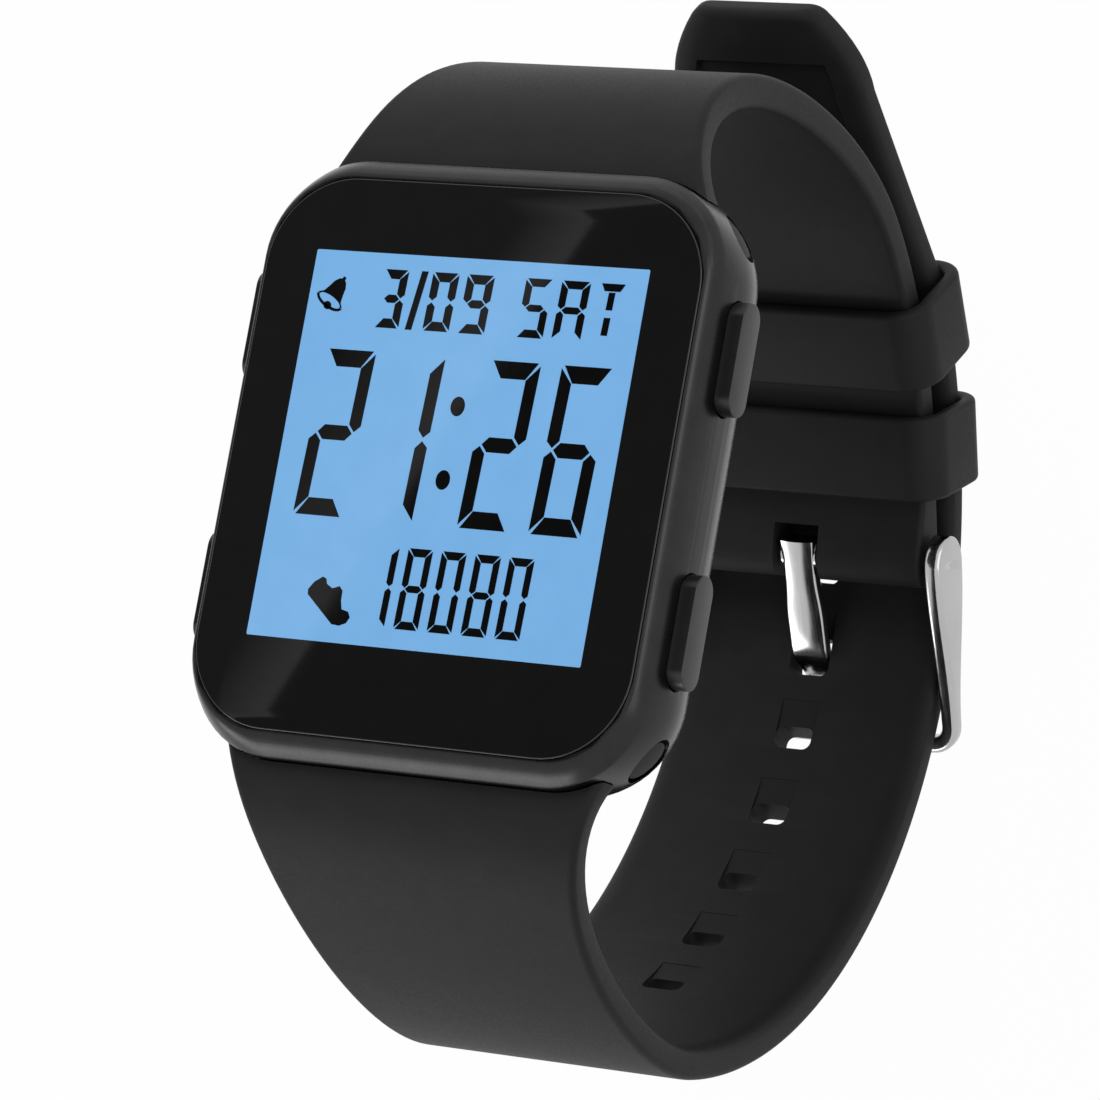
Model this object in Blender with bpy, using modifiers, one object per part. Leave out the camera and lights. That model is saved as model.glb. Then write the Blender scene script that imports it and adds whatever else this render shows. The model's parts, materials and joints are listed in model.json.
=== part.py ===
"""Digital wristwatch on a buckled silicone strap, standing face up on its buckle.

The dial faces +Z, 12 o'clock points along +Y and 3 o'clock along +X. Every piece hangs from one
empty at the centre of the lens face, so heights are given as drops below that face. The strap's
loop lies in the YZ plane. Its angles are measured from straight down, towards 12 o'clock.
"""
import math

import bmesh
import bpy
from mathutils import Vector

MM = 0.001

# Clearances
SEAT = 0.05 * MM
SLIDE = 0.03 * MM
FIT = 0.1 * MM

# Case
CASE_WIDTH = 36.0 * MM
CASE_LENGTH = 42.0 * MM
CASE_CORNER = 9.0 * MM
RIM_DROP = 0.3 * MM
RIM_INSET = 0.85 * MM
WAIST_DROP = 4.6 * MM
SPLIT_DROP = 9.2 * MM
BACK_DROP = 11.0 * MM
BACK_INSET = 6.0 * MM
SIDE_WALL = 3.1 * MM
END_WALL = 6.0 * MM
CAVITY_WIDTH = CASE_WIDTH - 2 * SIDE_WALL
CAVITY_LENGTH = CASE_LENGTH - 2 * END_WALL
CAVITY_CORNER = 1.2 * MM

# Lens, printed mask and gasket
SIDE_RIM = 1.1 * MM
END_RIM = 1.7 * MM
LENS_WIDTH = CASE_WIDTH - 2 * SIDE_RIM
LENS_LENGTH = CASE_LENGTH - 2 * END_RIM
LENS_CORNER = 6.3 * MM
LENS_THICKNESS = 1.5 * MM
LENS_BEVEL = 0.45 * MM
BEVEL_ROUNDING = 0.3
LENS_LEDGE = 1.6 * MM
GASKET_THICKNESS = 0.2 * MM
MASK_THICKNESS = 0.15 * MM
SIDE_MASK = 3.95 * MM
END_MASK = 5.75 * MM
WINDOW_WIDTH = LENS_WIDTH - 2 * SIDE_MASK
WINDOW_LENGTH = LENS_LENGTH - 2 * END_MASK
WINDOW_RISE = 0.6 * MM

# Display module and board
LCD_END_GAP = 0.7 * MM
LCD_LENGTH = CAVITY_LENGTH - 2 * LCD_END_GAP
LCD_THICKNESS = 1.2 * MM
BACKLIGHT_THICKNESS = 0.4 * MM
FRAME_WALL = 0.35 * MM
POST_WIDTH = 0.85 * MM
POST_LENGTH = 1.8 * MM
CONNECTOR_WIDTH = 1.4 * MM
CONNECTOR_INSET = 2.4 * MM
BOARD_SIDE_GAP = 1.0 * MM
BOARD_END_GAP = 0.5 * MM
BOARD_WIDTH = CAVITY_WIDTH - 2 * BOARD_SIDE_GAP
BOARD_LENGTH = CAVITY_LENGTH - 2 * BOARD_END_GAP
BOARD_THICKNESS = 0.8 * MM
BOARD_DROP = 5.4 * MM
CHIP_SIZE = 6.0 * MM
CHIP_THICKNESS = 0.9 * MM
CRYSTAL_DIAMETER = 2.0 * MM
CRYSTAL_LENGTH = 6.0 * MM
SENSOR_SIZE = 3.0 * MM
SENSOR_THICKNESS = 1.0 * MM
COMPONENT_PITCH = 7.5 * MM
COMPONENT_MARGIN = 0.6 * MM
COMPONENT_ROW = COMPONENT_MARGIN + CHIP_SIZE / 2 - BOARD_LENGTH / 2

# Battery, buzzer and back
BATTERY_MARGIN = 1.5 * MM
CHIP_GAP = 0.9 * MM
BATTERY_DIAMETER = BOARD_LENGTH - COMPONENT_MARGIN - CHIP_SIZE - CHIP_GAP - BATTERY_MARGIN
BATTERY_RISE = BOARD_LENGTH / 2 - BATTERY_MARGIN - BATTERY_DIAMETER / 2
BATTERY_THICKNESS = 2.5 * MM
BATTERY_GAP = 0.15 * MM
CLIP_STRIP = 0.2 * MM
CLIP_WIDTH = 6.0 * MM
BUZZER_DIAMETER = 18.0 * MM
BUZZER_THICKNESS = 0.4 * MM
BUZZER_POCKET = 0.7 * MM
BACK_GASKET_WIDTH = 0.5 * MM
BACK_GASKET_THICKNESS = 0.3 * MM
BACK_GASKET_MARGIN = 0.3 * MM
PILLAR_SIZE = 1.6 * MM
SCREW_X = 9.5 * MM
SCREW_WALL = 1.9 * MM
SCREW_Y = CAVITY_LENGTH / 2 + SCREW_WALL
SCREW_DIAMETER = 1.2 * MM
SCREW_HEAD_DIAMETER = 2.0 * MM
SCREW_HEAD_HEIGHT = 0.55 * MM
SCREW_FLOOR = 0.45 * MM
SCREW_BITE = 1.4 * MM

# Buttons
BUTTON_INSET = 2.7 * MM
BUTTON_Y = CASE_LENGTH / 2 - CASE_CORNER - BUTTON_INSET
BUTTON_DROP = 4.2 * MM
BUTTON_LENGTH = 7.8 * MM
BUTTON_HEIGHT = 2.5 * MM
BUTTON_PROUD = 1.05 * MM
BUTTON_SUNK = 0.5 * MM
BUTTON_EDGE = 0.12 * MM
STADIUM = 0.49
BUTTON_TRAVEL = 0.6 * MM
POCKET_GAP = 0.15 * MM
POCKET_SPARE = 0.2 * MM
STEM_DIAMETER = 1.2 * MM
STEM_REACH = 1.15 * MM
SPRING_WELL_DIAMETER = 2.6 * MM
SPRING_WELL_DEPTH = 1.1 * MM
SPRING_WIRE = 0.18 * MM
SPRING_MEAN_RADIUS = 0.86 * MM
SPRING_TURNS = 3
SEAL_WIRE = 0.5 * MM
STEM_CLIP_DIAMETER = 2.4 * MM
STEM_CLIP_THICKNESS = 0.3 * MM
SWITCH_DEPTH = 2.2 * MM
SWITCH_LENGTH = 3.6 * MM
SWITCH_HEIGHT = 1.7 * MM

# Strap lugs and the slots that take them
LUG_DEPTH = 3.1 * MM
LUG_Y = CASE_LENGTH / 2 - LUG_DEPTH
LUG_DROP = 5.6 * MM
LUG_DIAMETER = 2.9 * MM
NECK_THICKNESS = 1.5 * MM
NECK_DROP = 4.6 * MM
NECK_INSET = 0.6 * MM
NECK_OVERLAP = 0.5 * MM
ROD_DIAMETER = 1.2 * MM
ROD_INSET = 0.7 * MM

# Strap
STRAP_THICKNESS = 2.4 * MM
STRAP_WIDTH = 22.0 * MM
STRAP_EDGE = 0.45 * MM
ROOT_FLARE = 6.4 * MM
ROOT_SWELL = 0.6 * MM
ROOT_WRAP = 2.0 * MM
ROOT_REACH = 5.5 * MM
ROOT_DROP = 4.0 * MM
ROOT_DEPTH = 4.0 * MM
BEND_DEPTH = 1.0 * MM
ROOT_START = CASE_LENGTH / 2 - ROOT_DEPTH
ROOT_BEND = CASE_LENGTH / 2 - BEND_DEPTH
UPPER_ROOT_TILT = -1.0
LOWER_ROOT_TILT = 8.0
BUCKLE_END_WIDTH = 20.6 * MM
TAIL_WIDTH = 20.2 * MM
TAIL_END_WIDTH = 16.5 * MM
TIP_WIDTH = 9.6 * MM
TIP_LENGTH = 6.1 * MM
TIP_THINNING = 0.4 * MM

# Loop of the closed strap
LOOP_RADIUS = 34.8 * MM
LOOP_SHIFT = -0.8 * MM
LOOP_DROP = 25.7 * MM
LOOP_START_ANGLE = -82.0
OVERLAP_ANGLE = 20.0
OVERLAP_RADIUS = 40.6 * MM
LAYER_GAP = 1.9 * MM
TAIL_ANGLE = 45.0
TAIL_LENGTH = 23.1 * MM
INNER_START_ANGLE = 58.0
LOWER_ROOT_PULL = 24.5 * MM
LOWER_LOOP_PULL = 27.0 * MM
UPPER_ROOT_PULL = 42.0 * MM
UPPER_LOOP_PULL = 34.0 * MM
STRAP_STEP = 3.2 * MM

# Holes in the strap
HOLE_COUNT = 7
HOLE_USED = 1
HOLE_PITCH = 6.75 * MM
HOLE_ANGLE = -0.3
HOLE_WIDTH = 3.4 * MM
HOLE_LENGTH = 2.6 * MM
HOLE_CORNER = 0.7 * MM
RELIEF_LENGTH = 2.1 * MM
RELIEF_DEPTH = 1.0 * MM

# Buckle
BAR_ANGLE = 14.4
BAR_DIAMETER = 1.5 * MM
BAR_SUNK = 0.15 * MM
END_THICKNESS = 3.6 * MM
END_REACH = 6.0 * MM
END_NOSE = 1.9 * MM
NOSE_ROUNDING = 0.75
NOTCH_WIDTH = 3.7 * MM
NOTCH_DEPTH = 2.2 * MM
ARM_GAP = 0.55 * MM
ARM_THICKNESS = 1.3 * MM
ARM_EDGE = 0.4 * MM
EAR_RADIUS = 2.2 * MM
FAR_BAR_DIAMETER = 1.36 * MM
FAR_BAR_ANGLE = -8.4
FAR_BAR_GAP = 0.32 * MM
FRAME_CORNER = 1.5 * MM
TONGUE_WIDTH = 3.1 * MM
TONGUE_THICKNESS = 0.95 * MM
TONGUE_TIP_THICKNESS = 0.66 * MM
TONGUE_HUB_DIAMETER = 3.0 * MM
TONGUE_EDGE = 0.16 * MM
SAG_RUN = 0.36
SAG_DEPTH = 0.27
TURN_RUN = 1.75
TURN_DEPTH = 0.9
ENTRY_RUN = 0.28
ENTRY_DEPTH = 0.2
EXIT_RUN = 0.2
EXIT_DEPTH = 0.05
OUTSIDE_LIFT = 0.75
TIP_NOTCH_DEPTH = 0.8 * MM
TIP_GAP = 0.1 * MM
TIP_OVERHANG = 0.5 * MM

# Keepers
KEEPER_WIDTH = 6.4 * MM
KEEPER_WALL = 1.1 * MM
KEEPER_SIDE_GAP = 0.2 * MM
KEEPER_GAP = 0.3 * MM
KEEPER_CORNER = 1.6 * MM
FIXED_KEEPER_ANGLE = 27.5
FREE_KEEPER_ANGLE = 41.8

# Facets
CORNER_STEPS = 7
ROUND_STEPS = 24
CASE_STEPS = 5
SEAL_STEPS = 18
SEAL_SIDES = 6
COIL_STEPS = 9
TONGUE_STEPS = 4
TIP_STEPS = 5
NOSE_STEPS = 3
ARM_STEPS = 5
EAR_TURNS = (20, 45, 70)
FRAME_TURNS = (30, 60, 90)
SHARP_ANGLE = 32.0
EASED_ANGLE = 60.0

PARTS = "smartwatch"
CUTTERS = "smartwatch_cutters"

FINISHES = {
    "gunmetal": ((0.045, 0.045, 0.048), 0.3, 0.6),
    "glass": ((0.01, 0.01, 0.012), 0.05, 0.0),
    "ink": ((0.008, 0.008, 0.009), 0.4, 0.0),
    "lcd": ((0.2, 0.45, 0.8), 0.35, 0.0),
    "light_guide": ((0.75, 0.82, 0.9), 0.4, 0.0),
    "white_plastic": ((0.75, 0.75, 0.73), 0.5, 0.0),
    "rubber": ((0.02, 0.02, 0.021), 0.7, 0.0),
    "board": ((0.02, 0.16, 0.06), 0.5, 0.0),
    "chip": ((0.02, 0.02, 0.02), 0.4, 0.0),
    "steel": ((0.6, 0.6, 0.6), 0.25, 1.0),
    "brass": ((0.7, 0.5, 0.2), 0.3, 1.0),
    "silicone": ((0.028, 0.028, 0.029), 0.6, 0.0),
    "polished_steel": ((0.75, 0.75, 0.75), 0.12, 1.0),
}


# Scene helpers

def clear_scene():
    """Remove every object that the scene starts with."""
    for item in list(bpy.data.objects):
        bpy.data.objects.remove(item, do_unlink=True)


def collection(name):
    """A collection of the scene, made on first use."""
    found = bpy.data.collections.get(name)
    if found is None:
        found = bpy.data.collections.new(name)
        bpy.context.scene.collection.children.link(found)
    return found


def finish(name):
    """The material of a finish, made on first use."""
    found = bpy.data.materials.get(name)
    if found is None:
        colour, roughness, metallic = FINISHES[name]
        found = bpy.data.materials.new(name)
        found.use_nodes = True
        shader = found.node_tree.nodes["Principled BSDF"]
        shader.inputs["Base Color"].default_value = (*colour, 1.0)
        shader.inputs["Roughness"].default_value = roughness
        shader.inputs["Metallic"].default_value = metallic
    return found


def add_part(name, mesh, finish_name, place=(0, 0, 0), turn=0.0):
    """A piece of the watch, hung from the watch's empty and turned about X."""
    part = bpy.data.objects.new(name, mesh)
    collection(PARTS).objects.link(part)
    part.parent = bpy.data.objects["watch"]
    part.location = place
    part.rotation_euler = (turn, 0, 0)
    mesh.materials.append(finish(finish_name))
    mesh.shade_smooth()
    mesh.set_sharp_from_angle(angle=math.radians(SHARP_ANGLE))
    return part


def add_cutter(name, mesh, place=(0, 0, 0), turn=0.0):
    """A solid that only shapes other pieces."""
    cutter = bpy.data.objects.new(name, mesh)
    collection(CUTTERS).objects.link(cutter)
    cutter.parent = bpy.data.objects["watch"]
    cutter.location = place
    cutter.rotation_euler = (turn, 0, 0)
    cutter.hide_render = True
    cutter.display_type = 'WIRE'
    return cutter


def combine(part, cutter, operation='DIFFERENCE'):
    """Cut, join or keep the overlap of a piece and another solid."""
    modifier = part.modifiers.new(cutter.name, 'BOOLEAN')
    modifier.operation = operation
    modifier.solver = 'EXACT'
    modifier.object = cutter


# Mesh helpers

def to_mesh(name, bm):
    """Turn a bmesh into a mesh, with its faces pointing out."""
    bmesh.ops.recalc_face_normals(bm, faces=bm.faces)
    mesh = bpy.data.meshes.new(name)
    bm.to_mesh(mesh)
    bm.free()
    return mesh


def box(name, size, corner=0.0, axis=2, centre=(0, 0, 0)):
    """A box whose four edges along one axis are rounded."""
    bm = bmesh.new()
    bmesh.ops.create_cube(bm, size=1.0)
    bmesh.ops.scale(bm, vec=size, verts=bm.verts)
    if corner:
        half = size[axis] / 2
        edges = [e for e in bm.edges if abs(e.verts[0].co[axis] - e.verts[1].co[axis]) > half]
        bmesh.ops.bevel(bm, geom=edges, offset=corner, segments=CORNER_STEPS, profile=0.5, affect='EDGES')
    bmesh.ops.translate(bm, vec=centre, verts=bm.verts)
    return to_mesh(name, bm)


def cylinder(name, diameter, length, axis='Z', centre=(0, 0, 0)):
    """A cylinder along X or Z."""
    bm = bmesh.new()
    bmesh.ops.create_cone(bm, cap_ends=True, segments=ROUND_STEPS, radius1=diameter / 2,
                          radius2=diameter / 2, depth=length)
    if axis == 'X':
        for vert in bm.verts:
            vert.co = Vector((vert.co.z, vert.co.x, vert.co.y))
    bmesh.ops.translate(bm, vec=centre, verts=bm.verts)
    return to_mesh(name, bm)


def loft(name, rings):
    """Skin a row of like-numbered rings and close both ends."""
    bm = bmesh.new()
    rows = [[bm.verts.new(point) for point in ring] for ring in rings]
    for low, high in zip(rows, rows[1:]):
        for here in range(len(low)):
            after = (here + 1) % len(low)
            bm.faces.new((low[here], low[after], high[after], high[here]))
    bm.faces.new(rows[0])
    bm.faces.new(rows[-1])
    return to_mesh(name, bm)


def rounded_outline(width, length, corner, steps=CORNER_STEPS):
    """Points round a rounded rectangle centred on the origin."""
    points = []
    for quarter, (side, end) in enumerate(((1, 1), (-1, 1), (-1, -1), (1, -1))):
        for step in range(steps + 1):
            angle = math.radians(90 * (quarter + step / steps))
            across = side * (width / 2 - corner) + corner * math.cos(angle)
            along = end * (length / 2 - corner) + corner * math.sin(angle)
            points.append((across, along))
    return points


def stack(name, width, length, corner, levels):
    """A loft of rounded rectangles: each level is a height and an inset."""
    rings = []
    for height, inset in levels:
        outline = rounded_outline(width - 2 * inset, length - 2 * inset, corner - inset)
        rings.append([(x, y, height) for x, y in outline])
    return loft(name, rings)


def plate(name, width, length, corner, top, bottom):
    """A flat plate with rounded corners between two heights."""
    return box(name, (width, length, top - bottom), corner, 2, (0, 0, (top + bottom) / 2))


def smoothstep(share):
    """Ease from 0 to 1."""
    share = min(max(share, 0.0), 1.0)
    return share * share * (3 - 2 * share)


# The strap's loop

def polar(centre, radius, angle):
    """The point of the loop's plane at an angle from straight down."""
    turn = math.radians(angle)
    return Vector((0, centre.y + radius * math.sin(turn), centre.z - radius * math.cos(turn)))


def outward(angle):
    """The direction away from the wrist at an angle from straight down."""
    return polar(Vector((0, 0, 0)), 1.0, angle)


def along_arc(angle):
    """The direction along the loop towards larger angles."""
    return outward(angle + 90)


def radial_turn(angle):
    """Turn about X that points a piece's own Z away from the wrist."""
    return math.pi + math.radians(angle)


LOOP_CENTRE = Vector((0, LOOP_SHIFT, -LOOP_DROP))
OVERLAP_CENTRE = LOOP_CENTRE - (OVERLAP_RADIUS - LOOP_RADIUS) * outward(OVERLAP_ANGLE)
INNER_RADIUS = OVERLAP_RADIUS - STRAP_THICKNESS - LAYER_GAP
LOOP_INSIDE = LOOP_RADIUS - STRAP_THICKNESS / 2
LOOP_OUTSIDE = LOOP_RADIUS + STRAP_THICKNESS / 2
BAR_CENTRE = polar(OVERLAP_CENTRE, INNER_RADIUS, BAR_ANGLE)
FAR_BAR_RADIUS = LOOP_OUTSIDE + FAR_BAR_GAP + FAR_BAR_DIAMETER / 2
FAR_BAR_CENTRE = polar(LOOP_CENTRE, FAR_BAR_RADIUS, FAR_BAR_ANGLE)


def blend(start, start_pull, end, end_pull, share):
    """A point and its direction on the curve between two points with set directions."""
    square = share * share
    cube = square * share
    point = ((2 * cube - 3 * square + 1) * start + (cube - 2 * square + share) * start_pull
             + (3 * square - 2 * cube) * end + (cube - square) * end_pull)
    heading = ((6 * square - 6 * share) * (start - end) + (3 * square - 4 * share + 1) * start_pull
               + (3 * square - 2 * share) * end_pull)
    return point, heading.normalized()


def root_curve(side, tilt, root_pull, loop_pull, end, end_heading):
    """The free stretch of strap from the case to the loop's arc, as points and outward normals."""
    angle = math.radians(tilt)
    away = Vector((0, side * math.cos(angle), math.sin(angle)))
    bend = Vector((0, side * ROOT_BEND, -ROOT_DROP))
    steps = math.ceil((root_pull + loop_pull) / STRAP_STEP / 2)
    points = [(bend - (ROOT_BEND - ROOT_START) * away, away)]
    for step in range(steps):
        points.append(blend(bend, root_pull * away, end, loop_pull * end_heading, step / steps))
    return [(point, side * Vector((0, -heading.z, heading.y))) for point, heading in points]


def arc_track(centre, radius, start, end):
    """Points and outward normals along an arc of the loop."""
    steps = math.ceil(radius * math.radians(abs(end - start)) / STRAP_STEP)
    angles = [start + (end - start) * step / steps for step in range(steps + 1)]
    return [(polar(centre, radius, angle), outward(angle)) for angle in angles]


def track_lengths(track):
    """The distance along a track to each of its points."""
    lengths = [0.0]
    for (point, _), (after, _) in zip(track, track[1:]):
        lengths.append(lengths[-1] + (after - point).length)
    return lengths


def ribbon(name, track, widths, thicknesses):
    """A strap of rounded section along a track."""
    rings = []
    for (point, normal), width, thickness in zip(track, widths, thicknesses):
        outline = rounded_outline(width, thickness, STRAP_EDGE, 2)
        rings.append([Vector((x, 0, 0)) + point + n * normal for x, n in outline])
    return loft(name, rings)


def root_widths(lengths):
    """Strap width and thickness near the case, where it flares."""
    fades = [math.exp(-max(length - ROOT_DEPTH, -ROOT_WRAP) / ROOT_REACH) for length in lengths]
    widths = [STRAP_WIDTH + ROOT_FLARE * fade for fade in fades]
    thicknesses = [STRAP_THICKNESS + ROOT_SWELL * fade for fade in fades]
    return widths, thicknesses


# Case shell

def case_inset(drop):
    """How far the case draws in from its waist at a drop below the lens face."""
    if drop <= WAIST_DROP:
        share = (WAIST_DROP - drop) / (WAIST_DROP - RIM_DROP)
        return RIM_INSET * (1 - math.sqrt(max(1 - share * share, 0)))
    share = (drop - WAIST_DROP) / (BACK_DROP - WAIST_DROP)
    return BACK_INSET * (1 - math.sqrt(max(1 - share * share, 0)))


def case_levels(top, bottom):
    """Heights and insets of the case's outside between two drops."""
    drops = []
    for step in range(-CASE_STEPS, CASE_STEPS + 1):
        reach = WAIST_DROP - RIM_DROP if step < 0 else BACK_DROP - WAIST_DROP
        drops.append(WAIST_DROP + reach * math.sin(math.radians(90 * step / CASE_STEPS)))
    inside = [drop for drop in drops if top + SEAT < drop < bottom - SEAT]
    return [(-drop, case_inset(drop)) for drop in (top, *inside, bottom)]


def case_shape(name, top, bottom, growth=0.0):
    """The case's outside between two drops, grown on every side."""
    return stack(name, CASE_WIDTH + 2 * growth, CASE_LENGTH + 2 * growth, CASE_CORNER + growth,
                 case_levels(top, bottom))


LEDGE_DROP = LENS_THICKNESS + GASKET_THICKNESS + 2 * SEAT
SIDE = CASE_WIDTH / 2
POCKET_FLOOR = SIDE - BUTTON_SUNK - BUTTON_TRAVEL - POCKET_SPARE
WELL_FLOOR = POCKET_FLOOR - SPRING_WELL_DEPTH
STEM_END = CAVITY_WIDTH / 2 - STEM_REACH
LUG_HALF_SLOT = LUG_DIAMETER / 2 + SEAT


def build_case():
    """The case: a shell open at the front and back, with button bores and strap slots."""
    case = add_part("case_body", case_shape("case_body", RIM_DROP, SPLIT_DROP), "gunmetal")
    combine(case, add_cutter("lens_seat", plate("lens_seat", LENS_WIDTH + 2 * FIT, LENS_LENGTH + 2 * FIT,
                                                LENS_CORNER + FIT, LENS_THICKNESS, -LEDGE_DROP)))
    combine(case, add_cutter("cavity", plate("cavity", CAVITY_WIDTH, CAVITY_LENGTH, CAVITY_CORNER,
                                             -RIM_DROP, -BACK_DROP)))
    for side in (1, -1):
        slot = cylinder("slot", 2 * LUG_HALF_SLOT, 2 * CASE_WIDTH, 'X')
        combine(case, add_cutter(f"slot_{side}", slot, (0, side * LUG_Y, -LUG_DROP)))
        mouth_height = NECK_THICKNESS + 2 * SEAT
        mouth = box("mouth", (2 * CASE_WIDTH, CASE_LENGTH / 2, mouth_height))
        mouth_y = side * (LUG_Y + CASE_LENGTH / 4)
        combine(case, add_cutter(f"mouth_{side}", mouth, (0, mouth_y, -NECK_DROP)))
        for end in (1, -1):
            place = (0, end * BUTTON_Y, -BUTTON_DROP)
            depth = SIDE - POCKET_FLOOR + BUTTON_PROUD
            height = BUTTON_HEIGHT + 2 * POCKET_GAP
            pocket = box("pocket", (depth, BUTTON_LENGTH + 2 * POCKET_GAP, height), STADIUM * height, 0,
                         (side * (POCKET_FLOOR + depth / 2), 0, 0))
            combine(case, add_cutter(f"pocket_{side}_{end}", pocket, place))
            well_length = SIDE - WELL_FLOOR
            well = cylinder("well", SPRING_WELL_DIAMETER, well_length, 'X',
                            (side * (WELL_FLOOR + well_length / 2), 0, 0))
            combine(case, add_cutter(f"well_{side}_{end}", well, place))
            bore = cylinder("bore", STEM_DIAMETER + 2 * SLIDE, SIDE, 'X', (side * SIDE, 0, 0))
            combine(case, add_cutter(f"bore_{side}_{end}", bore, place))
            hole = cylinder("screw_hole", SCREW_DIAMETER + 2 * SLIDE, 2 * (SCREW_BITE + SEAT))
            spot = (side * SCREW_X, end * SCREW_Y, -SPLIT_DROP)
            combine(case, add_cutter(f"screw_hole_{side}_{end}", hole, spot))


def ring_plate(name, finish_name, outer, inner, top, bottom):
    """A flat frame between two rounded outlines, each a width, a length and a corner."""
    part = add_part(name, plate(name, *outer, top, bottom), finish_name)
    height = top - bottom
    opening = plate(name + "_opening", *inner, top + height, bottom - height)
    combine(part, add_cutter(name + "_opening", opening))
    return part


def build_lens():
    """Lens with an eased edge, its gasket and the black mask printed behind it."""
    eased = BEVEL_ROUNDING * LENS_BEVEL
    levels = [(-LENS_THICKNESS, 0), (-LENS_BEVEL, 0), (-eased, eased), (0, LENS_BEVEL)]
    add_part("front_lens", stack("front_lens", LENS_WIDTH, LENS_LENGTH, LENS_CORNER, levels), "glass")
    top = -LENS_THICKNESS - SEAT
    hole = (LENS_WIDTH - 2 * LENS_LEDGE, LENS_LENGTH - 2 * LENS_LEDGE, LENS_CORNER - LENS_LEDGE)
    ring_plate("lens_gasket", "rubber", (LENS_WIDTH, LENS_LENGTH, LENS_CORNER), hole, top,
               top - GASKET_THICKNESS)
    inside = min(hole[0] - 2 * FIT, CAVITY_WIDTH - 2 * FIT)
    mask = (inside, min(hole[1], CAVITY_LENGTH) - 2 * FIT, CAVITY_CORNER)
    part = add_part("lens_mask", plate("lens_mask", *mask, top, top - MASK_THICKNESS), "ink")
    window = box("window", (WINDOW_WIDTH, WINDOW_LENGTH, 2 * LENS_THICKNESS), 0, 2, (0, WINDOW_RISE, top))
    combine(part, add_cutter("window", window))


PRESSED_CLIP = CAVITY_WIDTH / 2 - SEAT - STEM_CLIP_THICKNESS - BUTTON_TRAVEL
LCD_WIDTH = 2 * (PRESSED_CLIP - FIT - FRAME_WALL - SEAT)
LCD_TOP = -LENS_THICKNESS - MASK_THICKNESS - 2 * SEAT
LCD_BOTTOM = LCD_TOP - LCD_THICKNESS
BACKLIGHT_TOP = LCD_BOTTOM - SEAT
BACKLIGHT_BOTTOM = BACKLIGHT_TOP - BACKLIGHT_THICKNESS
BOARD_BOTTOM = -BOARD_DROP - BOARD_THICKNESS
CONNECTOR_Y = LCD_LENGTH / 2 - CONNECTOR_WIDTH / 2 - FIT


def build_module():
    """LCD, its backlight, the frame round them and the rubber connectors under its ends."""
    add_part("lcd_panel", plate("lcd_panel", LCD_WIDTH, LCD_LENGTH, FRAME_WALL, LCD_TOP, LCD_BOTTOM), "lcd")
    light_length = 2 * (CONNECTOR_Y - CONNECTOR_WIDTH / 2 - FIT)
    light = plate("backlight_panel", LCD_WIDTH - 2 * POST_WIDTH, light_length, FRAME_WALL,
                  BACKLIGHT_TOP, BACKLIGHT_BOTTOM)
    add_part("backlight_panel", light, "light_guide")
    inner = (LCD_WIDTH + 2 * SEAT, LCD_LENGTH + 2 * SEAT, FRAME_WALL)
    outer = (inner[0] + 2 * FRAME_WALL, inner[1] + 2 * FRAME_WALL, 2 * FRAME_WALL)
    frame = ring_plate("module_frame", "white_plastic", outer, inner, LCD_TOP, BACKLIGHT_BOTTOM)
    post_height = BOARD_DROP - SEAT + LCD_BOTTOM - SEAT
    for side in (1, -1):
        for end in (1, -1):
            post_x = side * (outer[0] / 2 - POST_WIDTH / 2)
            post_y = end * (outer[1] / 2 - POST_LENGTH / 2)
            middle = (post_x, post_y, -BOARD_DROP + SEAT + post_height / 2)
            post = box("post", (POST_WIDTH, POST_LENGTH, post_height))
            combine(frame, add_cutter(f"post_{side}_{end}", post, middle), 'UNION')
    height = LCD_BOTTOM + BOARD_DROP - 2 * SEAT
    for name, end in (("connector_upper", 1), ("connector_lower", -1)):
        strip = box(name, (LCD_WIDTH - 2 * CONNECTOR_INSET, CONNECTOR_WIDTH, height))
        add_part(name, strip, "rubber", (0, end * CONNECTOR_Y, LCD_BOTTOM - SEAT - height / 2))


def build_board():
    """Circuit board with the pieces soldered under it."""
    board = plate("main_board", BOARD_WIDTH, BOARD_LENGTH, FRAME_WALL, -BOARD_DROP, BOARD_BOTTOM)
    add_part("main_board", board, "board")
    under = BOARD_BOTTOM - SEAT
    chip = box("controller_chip", (CHIP_SIZE, CHIP_SIZE, CHIP_THICKNESS))
    add_part("controller_chip", chip, "chip", (0, COMPONENT_ROW, under - CHIP_THICKNESS / 2))
    can = cylinder("quartz_crystal", CRYSTAL_DIAMETER, CRYSTAL_LENGTH, 'X')
    add_part("quartz_crystal", can, "steel", (COMPONENT_PITCH, COMPONENT_ROW, under - CRYSTAL_DIAMETER / 2))
    sensor = box("motion_sensor", (SENSOR_SIZE, SENSOR_SIZE, SENSOR_THICKNESS))
    add_part("motion_sensor", sensor, "chip", (-COMPONENT_PITCH, COMPONENT_ROW, under - SENSOR_THICKNESS / 2))


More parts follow.
